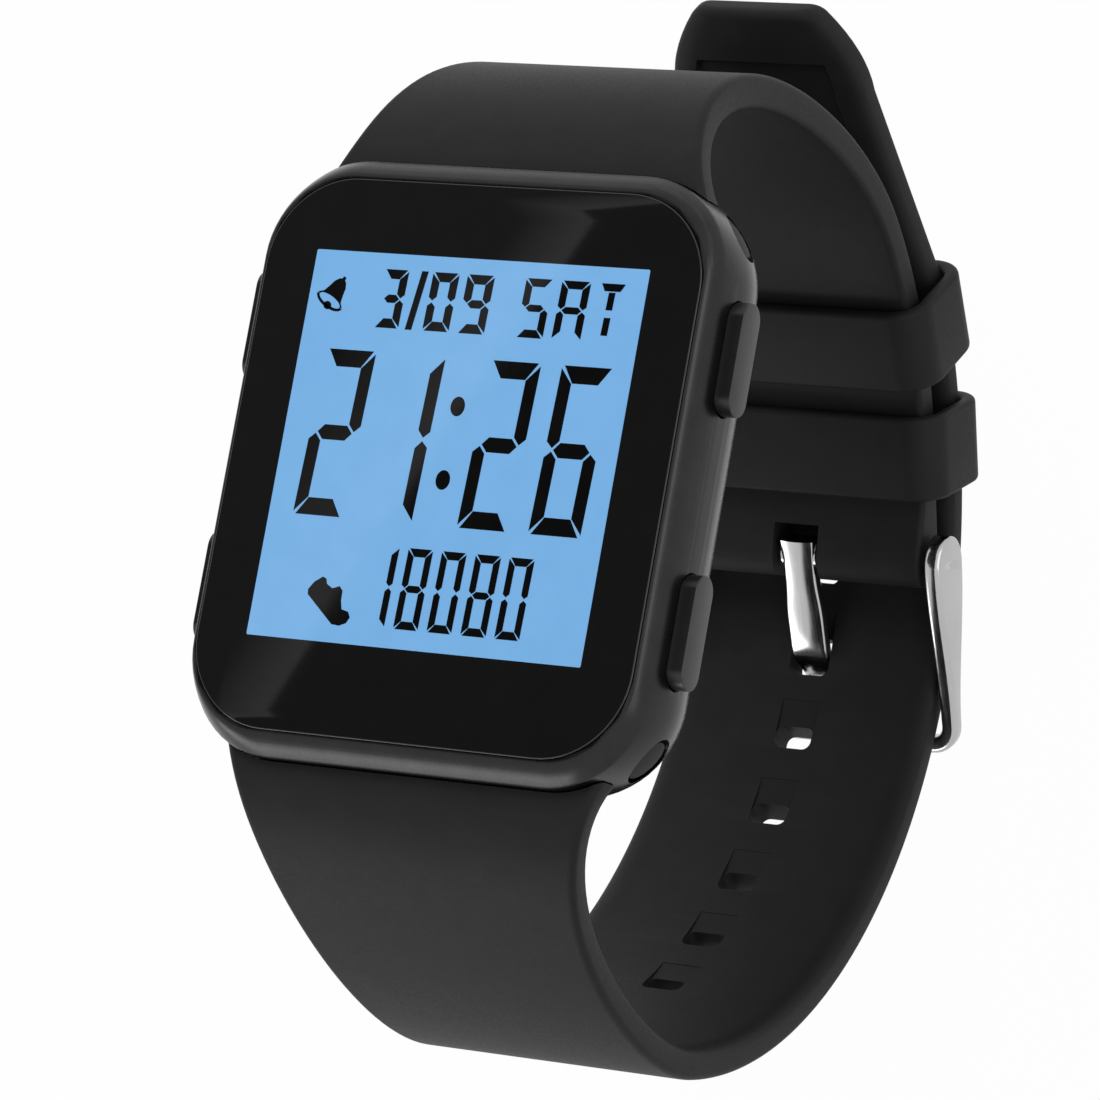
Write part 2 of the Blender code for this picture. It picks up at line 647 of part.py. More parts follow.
def build_battery():
    """Coin cell under the board and the sprung strip that holds it."""
    top = BOARD_BOTTOM - BATTERY_GAP
    cell = cylinder("battery_cell", BATTERY_DIAMETER, BATTERY_THICKNESS)
    add_part("battery_cell", cell, "steel", (0, BATTERY_RISE, top - BATTERY_THICKNESS / 2))
    strip_top = top - BATTERY_THICKNESS - SEAT
    span = BATTERY_DIAMETER + 2 * (FIT + CLIP_STRIP)
    strip = box("battery_clip", (span, CLIP_WIDTH, CLIP_STRIP))
    clip = add_part("battery_clip", strip, "brass", (0, BATTERY_RISE, strip_top - CLIP_STRIP / 2))
    leg_top = BOARD_BOTTOM - SEAT
    leg_bottom = strip_top - CLIP_STRIP
    for side in (1, -1):
        leg = box("clip_leg", (CLIP_STRIP, CLIP_WIDTH, leg_top - leg_bottom))
        place = (side * (span / 2 - CLIP_STRIP / 2), BATTERY_RISE, (leg_top + leg_bottom) / 2)
        combine(clip, add_cutter(f"clip_leg_{side}", leg, place), 'UNION')


def build_back():
    """Back cover with board pillars, its gasket, the buzzer and four screws."""
    top = -SPLIT_DROP - SEAT
    cover = add_part("back_cover", case_shape("back_cover", SPLIT_DROP + SEAT, BACK_DROP), "gunmetal")
    groove_drop = SPLIT_DROP + BACK_GASKET_THICKNESS + 2 * SEAT
    ring_inset = case_inset(groove_drop) + BACK_GASKET_MARGIN
    outer = (CASE_WIDTH - 2 * ring_inset, CAVITY_LENGTH + 2 * (BACK_GASKET_MARGIN + BACK_GASKET_WIDTH),
             CAVITY_CORNER + BACK_GASKET_WIDTH)
    inner = (outer[0] - 2 * BACK_GASKET_WIDTH, outer[1] - 2 * BACK_GASKET_WIDTH, CAVITY_CORNER)
    floor = top - BACK_GASKET_THICKNESS
    ring_plate("back_gasket", "rubber", outer, inner, top + SEAT - SLIDE, floor)
    groove = plate("groove", outer[0] + 2 * SEAT, outer[1] + 2 * SEAT, outer[2] + SEAT, SPLIT_DROP,
                   -groove_drop)
    island = plate("island", inner[0] - 2 * SEAT, inner[1] - 2 * SEAT, inner[2], BACK_DROP, -BACK_DROP)
    channel = add_cutter("groove", groove)
    combine(channel, add_cutter("island", island))
    combine(cover, channel)
    pocket = cylinder("buzzer_pocket", BUZZER_DIAMETER + 2 * FIT, 2 * BUZZER_POCKET, 'Z', (0, 0, top))
    combine(cover, add_cutter("buzzer_pocket", pocket))
    disc = cylinder("buzzer_disc", BUZZER_DIAMETER, BUZZER_THICKNESS)
    add_part("buzzer_disc", disc, "brass", (0, 0, top - BUZZER_POCKET + SEAT + BUZZER_THICKNESS / 2))
    pillar_top = BOARD_BOTTOM - SEAT
    head_top = top - SCREW_FLOOR
    under_head = head_top - SEAT
    length = SCREW_BITE - SPLIT_DROP - under_head
    for side in (1, -1):
        for end in (1, -1):
            height = pillar_top - top + SEAT
            middle = (side * (BOARD_WIDTH / 2 - PILLAR_SIZE), end * (BOARD_LENGTH / 2 - PILLAR_SIZE),
                      pillar_top - height / 2)
            pillar = box("pillar", (PILLAR_SIZE, PILLAR_SIZE, height))
            combine(cover, add_cutter(f"pillar_{side}_{end}", pillar, middle), 'UNION')
            spot = (side * SCREW_X, end * SCREW_Y, 0)
            sink = cylinder("sink", SCREW_HEAD_DIAMETER + 2 * FIT, BACK_DROP, 'Z',
                            (0, 0, head_top - BACK_DROP / 2))
            combine(cover, add_cutter(f"sink_{side}_{end}", sink, spot))
            hole = cylinder("hole", SCREW_DIAMETER + 2 * SLIDE, BACK_DROP, 'Z', (0, 0, -BACK_DROP))
            combine(cover, add_cutter(f"cover_hole_{side}_{end}", hole, spot))
            name = f"back_screw_{'upper' if end > 0 else 'lower'}_{'right' if side > 0 else 'left'}"
            head = cylinder(name, SCREW_HEAD_DIAMETER, SCREW_HEAD_HEIGHT, 'Z',
                            (0, 0, under_head - SCREW_HEAD_HEIGHT / 2))
            screw = add_part(name, head, "steel", spot)
            shank = cylinder("shank", SCREW_DIAMETER, length, 'Z', (0, 0, under_head + length / 2 - SEAT))
            combine(screw, add_cutter(f"shank_{side}_{end}", shank, spot), 'UNION')


# Buttons

def spring_mesh(name, length):
    """A coil along X, from 0 to a length."""
    curve = bpy.data.curves.new(name, 'CURVE')
    curve.dimensions = '3D'
    curve.bevel_depth = SPRING_WIRE / 2
    curve.bevel_resolution = 1
    curve.use_fill_caps = True
    count = SPRING_TURNS * COIL_STEPS + 1
    spline = curve.splines.new('POLY')
    spline.points.add(count - 1)
    for index, point in enumerate(spline.points):
        angle = 2 * math.pi * index / COIL_STEPS
        along = SPRING_WIRE / 2 + (length - SPRING_WIRE) * index / (count - 1)
        point.co = (along, SPRING_MEAN_RADIUS * math.cos(angle), SPRING_MEAN_RADIUS * math.sin(angle), 1)
    holder = bpy.data.objects.new(name, curve)
    collection(CUTTERS).objects.link(holder)
    bpy.context.view_layer.update()
    mesh = bpy.data.meshes.new_from_object(holder.evaluated_get(bpy.context.evaluated_depsgraph_get()))
    bpy.data.objects.remove(holder, do_unlink=True)
    bm = bmesh.new()
    bm.from_mesh(mesh)
    bmesh.ops.remove_doubles(bm, verts=bm.verts, dist=SPRING_WIRE / 1000)
    return to_mesh(name, bm)


def build_buttons():
    """Four pushers, each with its spring, seal, clip and the switch that it presses."""
    outer_face = SIDE + BUTTON_PROUD
    inner_face = SIDE - BUTTON_SUNK
    thickness = outer_face - inner_face
    seal_radius = STEM_DIAMETER / 2 + SLIDE + SEAL_WIRE / 2
    seal_x = WELL_FLOOR + SEAT + SEAL_WIRE / 2
    spring_start = seal_x + SEAL_WIRE / 2 + SEAT
    switch_face = STEM_END - BUTTON_TRAVEL - SEAT
    for side, hand in ((1, "right"), (-1, "left")):
        for end, level in ((1, "upper"), (-1, "lower")):
            tag = f"{level}_{hand}"
            place = (0, end * BUTTON_Y, -BUTTON_DROP)
            cap = box("button_" + tag, (thickness, BUTTON_LENGTH, BUTTON_HEIGHT), STADIUM * BUTTON_HEIGHT, 0,
                      (side * (outer_face + inner_face) / 2, 0, 0))
            button = add_part("button_" + tag, cap, "gunmetal", place)
            edge = button.modifiers.new("eased_edge", 'BEVEL')
            edge.width = BUTTON_EDGE
            edge.segments = 1
            edge.limit_method = 'ANGLE'
            edge.angle_limit = math.radians(EASED_ANGLE)
            stem_length = inner_face - STEM_END + BUTTON_SUNK
            stem = cylinder("stem", STEM_DIAMETER, stem_length, 'X',
                            (side * (STEM_END + stem_length / 2), 0, 0))
            combine(button, add_cutter("stem_" + tag, stem, place), 'UNION')
            spring = add_part("button_spring_" + tag,
                              spring_mesh("button_spring_" + tag, inner_face - SEAT - spring_start), "steel",
                              (side * spring_start, end * BUTTON_Y, -BUTTON_DROP))
            if side < 0:
                spring.data.transform(((-1, 0, 0, 0), (0, -1, 0, 0), (0, 0, 1, 0), (0, 0, 0, 1)))
            add_part("button_seal_" + tag, torus("button_seal_" + tag, seal_radius, SEAL_WIRE / 2), "rubber",
                     (side * seal_x, end * BUTTON_Y, -BUTTON_DROP))
            clip_x = CAVITY_WIDTH / 2 - SEAT - STEM_CLIP_THICKNESS / 2
            disc = cylinder("button_clip_" + tag, STEM_CLIP_DIAMETER, STEM_CLIP_THICKNESS, 'X',
                            (side * clip_x, 0, 0))
            clip = add_part("button_clip_" + tag, disc, "steel", place)
            eye = cylinder("eye", STEM_DIAMETER + 2 * SLIDE, SIDE, 'X', (side * clip_x, 0, 0))
            combine(clip, add_cutter("eye_" + tag, eye, place))
            switch = box("side_switch_" + tag, (SWITCH_DEPTH, SWITCH_LENGTH, SWITCH_HEIGHT))
            add_part("side_switch_" + tag, switch, "chip",
                     (side * (switch_face - SWITCH_DEPTH / 2), end * BUTTON_Y,
                      -BOARD_DROP + SEAT + SWITCH_HEIGHT / 2))


def torus(name, major, minor):
    """A ring round X."""
    bpy.ops.mesh.primitive_torus_add(major_radius=major, minor_radius=minor, major_segments=SEAL_STEPS,
                                     minor_segments=SEAL_SIDES)
    holder = bpy.context.object
    mesh = holder.data
    mesh.name = name
    bpy.data.objects.remove(holder, do_unlink=True)
    for vert in mesh.vertices:
        vert.co = Vector((vert.co.z, vert.co.x, vert.co.y))
    return mesh


# Strap halves

def add_lug(strap, side, tag):
    """Trim a strap half to the case and join the lug that slides into the case's slot."""
    clear = add_cutter("case_clear_" + tag, case_shape("case_clear", RIM_DROP, BACK_DROP, FIT))
    combine(strap, clear)
    place = (0, side * LUG_Y, -LUG_DROP)
    lug = add_cutter("lug_" + tag, cylinder("lug", LUG_DIAMETER, CASE_WIDTH, 'X'), place)
    limit = case_shape("lug_limit", RIM_DROP, BACK_DROP, -FIT)
    combine(lug, add_cutter("lug_limit_" + tag, limit), 'INTERSECT')
    combine(strap, lug, 'UNION')
    neck_length = CASE_LENGTH / 2 - LUG_Y + NECK_OVERLAP
    neck_width = STRAP_WIDTH + ROOT_FLARE - 2 * NECK_INSET
    neck = box("neck", (neck_width, neck_length, NECK_THICKNESS))
    neck_place = (0, side * (LUG_Y + neck_length / 2), -NECK_DROP)
    combine(strap, add_cutter("neck_" + tag, neck, neck_place), 'UNION')
    bore = cylinder("rod_bore", ROD_DIAMETER + 2 * SLIDE, 2 * CASE_WIDTH, 'X')
    combine(strap, add_cutter("rod_bore_" + tag, bore, place))
    run = math.sqrt((CASE_CORNER - FIT) ** 2 - (LUG_Y - CASE_LENGTH / 2 + CASE_CORNER) ** 2)
    half_rod = SIDE - CASE_CORNER + run - ROD_INSET
    rod = cylinder("strap_rod_" + tag, ROD_DIAMETER, 2 * half_rod, 'X')
    add_part("strap_rod_" + tag, rod, "steel", place)


def build_strap_upper():
    """The half that carries the buckle: thick round the bar, with a notch for the tongue."""
    heading = -along_arc(INNER_START_ANGLE)
    start = polar(OVERLAP_CENTRE, INNER_RADIUS, INNER_START_ANGLE)
    track = root_curve(1, UPPER_ROOT_TILT, UPPER_ROOT_PULL, UPPER_LOOP_PULL, start, heading)
    track += arc_track(OVERLAP_CENTRE, INNER_RADIUS, INNER_START_ANGLE, BAR_ANGLE)
    nose_turn = math.degrees(END_NOSE / INNER_RADIUS)
    for step in range(1, NOSE_STEPS + 1):
        angle = BAR_ANGLE - nose_turn * math.sin(math.radians(90 * step / NOSE_STEPS))
        track.append((polar(OVERLAP_CENTRE, INNER_RADIUS, angle), outward(angle)))
    lengths = track_lengths(track)
    bar_length = lengths[-1 - NOSE_STEPS]
    widths, thicknesses = root_widths(lengths)
    for index, length in enumerate(lengths):
        widths[index] += (BUCKLE_END_WIDTH - STRAP_WIDTH) * length / lengths[-1]
        swell = smoothstep(1 - (bar_length - length) / END_REACH)
        thicknesses[index] += (END_THICKNESS - STRAP_THICKNESS) * swell
        past = max(length - bar_length, 0) / END_NOSE
        thicknesses[index] *= math.sqrt(1 - NOSE_ROUNDING * past * past)
    strap = add_part("strap_upper", ribbon("strap_upper", track, widths, thicknesses), "silicone")
    add_lug(strap, 1, "upper")
    bore = cylinder("bar_bore", BAR_DIAMETER + 2 * SLIDE, 2 * STRAP_WIDTH, 'X')
    combine(strap, add_cutter("bar_bore", bore, BAR_CENTRE))
    notch_length = NOTCH_DEPTH + 2 * END_NOSE
    notch = box("tongue_notch", (NOTCH_WIDTH, notch_length, 2 * END_THICKNESS), 0, 2,
                (0, notch_length / 2 - NOTCH_DEPTH, 0))
    combine(strap, add_cutter("tongue_notch", notch, BAR_CENTRE, radial_turn(BAR_ANGLE)))


def hole_angle(index):
    """Angle of a strap hole, counted from the one under the buckle."""
    return HOLE_ANGLE - math.degrees((index - HOLE_USED) * HOLE_PITCH / LOOP_RADIUS)


def build_strap_lower():
    """The half with the holes, which runs outside the other half and ends in a straight tail."""
    heading = along_arc(LOOP_START_ANGLE)
    start = polar(LOOP_CENTRE, LOOP_RADIUS, LOOP_START_ANGLE)
    track = root_curve(-1, LOWER_ROOT_TILT, LOWER_ROOT_PULL, LOWER_LOOP_PULL, start, heading)
    track += arc_track(LOOP_CENTRE, LOOP_RADIUS, LOOP_START_ANGLE, OVERLAP_ANGLE)[:-1]
    track += arc_track(OVERLAP_CENTRE, OVERLAP_RADIUS, OVERLAP_ANGLE, TAIL_ANGLE)
    leave, normal = track[-1]
    leave_index = len(track) - 1
    onward = Vector((0, -normal.z, normal.y))
    tip_start = TAIL_LENGTH - TIP_LENGTH
    runs = [tip_start / 2] + [tip_start + TIP_LENGTH * step / TIP_STEPS for step in range(TIP_STEPS + 1)]
    track += [(leave + run * onward, normal) for run in runs]
    lengths = track_lengths(track)
    widths, thicknesses = root_widths(lengths)
    for index, length in enumerate(lengths):
        run = length - lengths[leave_index]
        if run <= 0:
            widths[index] += (TAIL_WIDTH - STRAP_WIDTH) * length / lengths[leave_index]
            continue
        share = max(run - tip_start, 0) / TIP_LENGTH
        widths[index] = TAIL_WIDTH + (TAIL_END_WIDTH - TAIL_WIDTH) * min(run / tip_start, 1)
        widths[index] += (TIP_WIDTH - TAIL_END_WIDTH) * share * share
        thicknesses[index] -= TIP_THINNING * share * share
    strap = add_part("strap_lower", ribbon("strap_lower", track, widths, thicknesses), "silicone")
    add_lug(strap, -1, "lower")
    for index in range(HOLE_COUNT):
        angle = hole_angle(index)
        place = polar(LOOP_CENTRE, LOOP_RADIUS, angle)
        turn = radial_turn(angle)
        hole = box("strap_hole", (HOLE_WIDTH, HOLE_LENGTH, 2 * STRAP_THICKNESS), HOLE_CORNER)
        combine(strap, add_cutter(f"strap_hole_{index}", hole, place, turn))
        relief = box("relief", (HOLE_WIDTH, RELIEF_LENGTH + HOLE_LENGTH / 2, 2 * RELIEF_DEPTH), 0, 2,
                     (0, -(RELIEF_LENGTH + HOLE_LENGTH / 2) / 2, -STRAP_THICKNESS / 2))
        combine(strap, add_cutter(f"relief_{index}", relief, place, turn))


# Keepers

def build_keeper(name, angle):
    """A loop that holds the tail on the other strap half, turning about the overlap's centre."""
    sagitta = KEEPER_WIDTH ** 2 / (8 * INNER_RADIUS)
    low = INNER_RADIUS - STRAP_THICKNESS / 2 - sagitta - KEEPER_GAP
    high = OVERLAP_RADIUS + STRAP_THICKNESS / 2 + KEEPER_GAP
    inner_width = STRAP_WIDTH - (STRAP_WIDTH - BUCKLE_END_WIDTH) / 2 + 2 * KEEPER_SIDE_GAP
    centre = (0, 0, (low + high) / 2)
    outer = (inner_width + 2 * KEEPER_WALL, KEEPER_WIDTH, high - low + 2 * KEEPER_WALL)
    turn = radial_turn(angle)
    keeper = add_part(name, box(name, outer, KEEPER_CORNER, 1, centre), "silicone", OVERLAP_CENTRE, turn)
    inner = (inner_width, 2 * KEEPER_WIDTH, high - low)
    opening = box(name + "_opening", inner, KEEPER_CORNER - KEEPER_WALL, 1, centre)
    combine(keeper, add_cutter(name + "_opening", opening, OVERLAP_CENTRE, turn))


# Buckle

ARM_X = BUCKLE_END_WIDTH / 2 + ARM_GAP + ARM_THICKNESS / 2


def build_buckle_bar():
    """The pin that the frame and the tongue turn on."""
    half = ARM_X + ARM_THICKNESS / 2 - BAR_SUNK
    add_part("buckle_bar", cylinder("buckle_bar", BAR_DIAMETER, 2 * half, 'X'), "polished_steel", BAR_CENTRE)


def frame_route(reach):
    """Half of the frame's U, from an ear to the middle of the far bar, as x, run, heading and height."""
    route = []
    for turn in EAR_TURNS:
        angle = math.radians(turn)
        route.append((ARM_X, -EAR_RADIUS * math.cos(angle), 90, EAR_RADIUS * math.sin(angle)))
    arm_end = reach - FRAME_CORNER
    for step in range(ARM_STEPS + 1):
        share = step / ARM_STEPS
        height = EAR_RADIUS + (FAR_BAR_DIAMETER / 2 - EAR_RADIUS) * smoothstep(share)
        route.append((ARM_X, arm_end * share, 90, height))
    for turn in FRAME_TURNS:
        angle = math.radians(turn)
        across = ARM_X - FRAME_CORNER * (1 - math.cos(angle))
        route.append((across, arm_end + FRAME_CORNER * math.sin(angle), 90 + turn, FAR_BAR_DIAMETER / 2))
    return route


def tongue_stops():
    """Points that the tongue passes, from the bar to its tip, and the tip's outward normal."""
    from_loop = BAR_CENTRE - LOOP_CENTRE
    bar_angle = math.degrees(math.atan2(from_loop.y, -from_loop.z))
    bar_radius = from_loop.length
    hole = hole_angle(HOLE_USED)
    half_hole = math.degrees(HOLE_LENGTH / 2 / LOOP_RADIUS)
    stops = (
        (bar_angle, bar_radius),
        (bar_angle - SAG_RUN * (bar_angle - hole), bar_radius + SAG_DEPTH * (LOOP_INSIDE - bar_radius)),
        (hole + TURN_RUN * half_hole, LOOP_INSIDE - TURN_DEPTH * TONGUE_THICKNESS),
        (hole + ENTRY_RUN * half_hole, LOOP_INSIDE + ENTRY_DEPTH * STRAP_THICKNESS),
        (hole - EXIT_RUN * half_hole, LOOP_OUTSIDE - EXIT_DEPTH * STRAP_THICKNESS),
        (hole - half_hole, LOOP_OUTSIDE + OUTSIDE_LIFT * TONGUE_THICKNESS),
    )
    points = [polar(LOOP_CENTRE, radius, angle) for angle, radius in stops]
    lift = FAR_BAR_DIAMETER / 2 - TIP_NOTCH_DEPTH + TIP_GAP + TONGUE_TIP_THICKNESS / 2
    chord = (FAR_BAR_CENTRE + lift * outward(FAR_BAR_ANGLE) - points[-1]).normalized()
    normal = Vector((0, -chord.z, chord.y))
    normal *= math.copysign(1, -normal.z)
    points.append(FAR_BAR_CENTRE + lift * normal + TIP_OVERHANG * chord)
    return points, normal


def build_buckle_frame():
    """A U of steel on the bar: two tapered arms and the far bar, with a notch for the tongue's tip."""
    run = FAR_BAR_CENTRE - BAR_CENTRE
    reach = run.length
    run.normalize()
    rise = Vector((0, -run.z, run.y))
    half = frame_route(reach)
    mirrored = [(-across, along, -heading, height) for across, along, heading, height in reversed(half)]
    rings = []
    for across, along, heading, height in half + mirrored:
        angle = math.radians(heading)
        side = Vector((math.sin(angle), 0, 0)) - math.cos(angle) * run
        middle = Vector((across, 0, 0)) + along * run
        outline = rounded_outline(ARM_THICKNESS, 2 * height, ARM_EDGE, 2)
        rings.append([middle + a * side + b * rise for a, b in outline])
    frame = add_part("buckle_frame", loft("buckle_frame", rings), "polished_steel", BAR_CENTRE)
    bore = cylinder("frame_bore", BAR_DIAMETER + 2 * SLIDE, 4 * ARM_X, 'X')
    combine(frame, add_cutter("frame_bore", bore, BAR_CENTRE))
    notch = box("tip_notch", (NOTCH_WIDTH, 4 * FAR_BAR_DIAMETER, 2 * TIP_NOTCH_DEPTH), 0, 2,
                (0, 0, FAR_BAR_DIAMETER / 2))
    _, normal = tongue_stops()
    turn = math.pi + math.atan2(normal.y, -normal.z)
    combine(frame, add_cutter("tip_notch", notch, FAR_BAR_CENTRE, turn))


def smooth_route(points, steps):
    """Points on a smooth curve through a route."""
    ends = [2 * points[0] - points[1], *points, 2 * points[-1] - points[-2]]
    route = []
    for before, here, after, later in zip(ends, ends[1:], ends[2:], ends[3:]):
        for step in range(steps):
            point, _ = blend(here, (after - before) / 2, after, (later - here) / 2, step / steps)
            route.append(point)
    return route + [points[-1]]


def build_buckle_tongue():
    """The tongue: an eye on the bar, a strip on the wrist side and a tip through the strap's hole."""
    stops, _ = tongue_stops()
    route = smooth_route([stop - BAR_CENTRE for stop in stops], TONGUE_STEPS)[1:]
    rings = []
    for index, point in enumerate(route):
        ahead = route[min(index + 1, len(route) - 1)] - route[max(index - 1, 0)]
        normal = Vector((0, -ahead.z, ahead.y)).normalized()
        share = index / (len(route) - 1)
        thickness = TONGUE_THICKNESS + (TONGUE_TIP_THICKNESS - TONGUE_THICKNESS) * smoothstep(3 * share - 2)
        outline = rounded_outline(TONGUE_WIDTH, thickness, TONGUE_EDGE, 1)
        rings.append([Vector((x, 0, 0)) + point + n * normal for x, n in outline])
    tongue = add_part("buckle_tongue", loft("buckle_tongue", rings), "polished_steel", BAR_CENTRE)
    hub = add_cutter("tongue_hub", cylinder("tongue_hub", TONGUE_HUB_DIAMETER, TONGUE_WIDTH, 'X'), BAR_CENTRE)
    combine(tongue, hub, 'UNION')
    bore = cylinder("tongue_bore", BAR_DIAMETER + 2 * SLIDE, 2 * TONGUE_WIDTH, 'X')
    combine(tongue, add_cutter("tongue_bore", bore, BAR_CENTRE))


def stand(watch):
    """Stand the watch on its lowest point, with its box centred on the origin."""
    bpy.context.view_layer.update()
    depsgraph = bpy.context.evaluated_depsgraph_get()
    corners = []
    for part in collection(PARTS).objects:
        seen = part.evaluated_get(depsgraph)
        corners += [seen.matrix_world @ vert.co for vert in seen.data.vertices]
    low = [min(corner[axis] for corner in corners) for axis in range(3)]
    high = [max(corner[axis] for corner in corners) for axis in range(3)]
    watch.location = (-(low[0] + high[0]) / 2, -(low[1] + high[1]) / 2, -low[2])


def main():
    """Build the watch."""
    clear_scene()
    watch = bpy.data.objects.new("watch", None)
    bpy.context.scene.collection.objects.link(watch)
    build_case()
    build_lens()
    build_module()
    build_board()
    build_battery()
    build_back()
    build_buttons()
    build_strap_upper()
    build_strap_lower()
    build_keeper("fixed_keeper", FIXED_KEEPER_ANGLE)
    build_keeper("free_keeper", FREE_KEEPER_ANGLE)
    build_buckle_bar()
    build_buckle_frame()
    build_buckle_tongue()
    stand(watch)


main()
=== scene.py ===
"""Looks of a digital wristwatch on a buckled silicone strap, dressed over its CAD frame.

Shapes are made in millimetres about the dial, the centre of the lens face: 12 o'clock points along
+Y and the dial faces +Z. The strap's angles are measured from straight down, towards 12 o'clock.
"""
import json
import math

import bmesh
import bpy
from mathutils import Matrix, Vector


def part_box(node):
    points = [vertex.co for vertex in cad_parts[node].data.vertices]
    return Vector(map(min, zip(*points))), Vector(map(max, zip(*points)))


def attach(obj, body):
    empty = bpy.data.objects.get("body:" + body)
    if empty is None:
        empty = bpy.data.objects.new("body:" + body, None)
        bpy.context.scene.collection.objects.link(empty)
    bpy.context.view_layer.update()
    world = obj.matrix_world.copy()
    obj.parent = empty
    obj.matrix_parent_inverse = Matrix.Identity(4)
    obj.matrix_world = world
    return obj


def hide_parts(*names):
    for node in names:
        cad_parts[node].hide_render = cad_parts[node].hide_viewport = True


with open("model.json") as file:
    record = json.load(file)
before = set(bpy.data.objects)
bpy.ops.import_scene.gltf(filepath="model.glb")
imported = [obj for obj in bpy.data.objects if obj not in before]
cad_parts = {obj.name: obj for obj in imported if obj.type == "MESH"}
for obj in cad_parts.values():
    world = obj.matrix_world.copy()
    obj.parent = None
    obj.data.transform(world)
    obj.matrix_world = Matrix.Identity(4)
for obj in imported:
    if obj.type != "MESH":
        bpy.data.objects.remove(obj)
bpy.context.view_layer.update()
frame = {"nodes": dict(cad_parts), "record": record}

MM = 0.001
LENS_LOW, LENS_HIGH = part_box("front_lens")
DIAL = Vector(((LENS_LOW[0] + LENS_HIGH[0]) / 2, (LENS_LOW[1] + LENS_HIGH[1]) / 2, LENS_HIGH[2]))
TO_WORLD = Matrix.Translation(DIAL) @ Matrix.Scale(MM, 4)
SHARP_ANGLE = 38.0
SMALL = 0.01
CUT_MARGIN = 1.0
ROD_STEPS = 40

# Case
CASE_WIDTH = 36.0
CASE_LENGTH = 42.0
CASE_CORNER = 7.2
RIM_DROP = 0.14
SIDE_RIM_INSET = 1.0
RIM_FULLNESS = 0.55
BEZEL_INSET = 1.62
BEZEL_DROP = 1.6
BEZEL_BOW = 0.62
WAIST_DROP = 4.6
SPLIT_DROP = 9.2
BACK_DROP = 11.0
BACK_INSET = 6.0
CAVITY = (29.8, 30.0, 1.2)
CASE_STEPS = 14
CORNER_STEPS = 14
SEAT = 0.05
CLEARANCE = 0.1

# Lens and display
LENS = (33.76, 38.6, 6.3)
LENS_GAP = 0.02
LENS_TOP = -0.03
LENS_THICKNESS = 1.5
LENS_BEVEL = 0.1
LENS_STEPS = 6
LEDGE_DROP = 1.8
WINDOW = (25.9, 27.1, 0.12)
WINDOW_RISE = 0.6
PANEL_TOP = -0.018
PANEL_BOTTOM = -0.1
INK_TOP = -0.006
INK_SINK = 0.01

# Buttons
BUTTON_Y = 9.3
BUTTON_DROP = 3.95
BUTTON_LENGTH = 7.8
BUTTON_HEIGHT = 2.5
BUTTON_FACE = 19.05
BUTTON_BASE = 17.5
BUTTON_EDGE = 0.08
BUTTON_STEPS = 4
STADIUM = 0.49
POCKET_FLOOR = 16.7
POCKET_GAP = 0.07
POCKET_FLARE = 0.08
STEM_DIAMETER = 1.2
STEM_END = 13.75
STEM_OVERLAP = 0.5
BORE_DIAMETER = 1.26

# Back
SCREW_X = 9.5
SCREW_Y = 16.9
SINK_DIAMETER = 2.2
SCREW_DIAMETER = 2.0
SCREW_TOP = -9.75
SCREW_FACE = -10.3
SCREW_ROUNDING = 0.12
CROSS_LENGTH = 1.3
CROSS_WIDTH = 0.3
CROSS_DEPTH = 0.25

# Strap lugs
LUG_Y = 17.9
LUG_DROP = 5.6
SLOT_DIAMETER = 3.1
SLOT_DROP = 5.3
LUG_DIAMETER = 2.56
LUG_LIFT = 0.55
MOUTH_HEIGHT = 1.6
NECK_SIZE = (25.0, 3.6, 1.5)
MOUTH_WIDTH = 25.3
NECK_DROP = 4.6

# Strap
STRAP_THICKNESS = 2.4
STRAP_WIDTH = 22.0
OUTER_EDGE = (0.6, 0.5)
UPPER_INNER_EDGE = (0.5, 0.45)
LOWER_INNER_EDGE = (1.7, 0.8)
SKIN_DROP = 0.06
EDGE_STEPS = 6
ROOT_FLARE = 6.4
ROOT_SWELL = 0.6
ROOT_WRAP = 2.0
ROOT_REACH = 7.0
ROOT_UNDERCUT = (1.2, 0.8)
ROOT_GAP = 0.08
ROOT_DROP = 4.0
ROOT_DEPTH = 4.0
ROOT_START = 17.0
ROOT_BEND = 20.0
UPPER_ROOT_TILT = -1.0
LOWER_ROOT_TILT = 8.0
BUCKLE_END_WIDTH = 20.6
TAIL_WIDTH = 20.9
TAIL_END_WIDTH = 15.8
TIP_WIDTH = 9.6
TIP_LENGTH = 7.2
TIP_THINNING = 0.4
TIP_ROUNDING = 0.7
TIP_DRAW = 1.6
TIP_STEPS = 6
PANEL_BORDER = 2.1
PANEL_STEP = 0.3
PANEL_DEPTH = 0.35
PANEL_END = 4.4
PANEL_FADE = 8.0
STRAP_STEP = 0.8

# Loop of the closed strap
LOOP_RADIUS = 34.8
OVERLAP_ANGLE = 20.0
OVERLAP_RADIUS = 40.6
LAYER_GAP = 1.9
LOOP_START_ANGLE = -82.0
TAIL_ANGLE = 45.0
TAIL_LENGTH = 23.1
INNER_START_ANGLE = 58.0
LOWER_PULLS = (24.5, 27.0)
UPPER_PULLS = (42.0, 34.0)

# Holes in the strap
HOLE_COUNT = 7
HOLE_USED = 1
HOLE_PITCH = 6.75
HOLE_ANGLE = -0.3
HOLE = (3.1, 1.8, 0.65)
WORN_HOLE = (3.3, 3.0, 0.7)
TONGUE_HOLE = 2.6
RELIEF_LENGTH = 2.1
RELIEF_STEPS = 6
RELIEF_DEPTH = 0.22
RELIEF_END = 0.03
WORN_RELIEF = 1.2

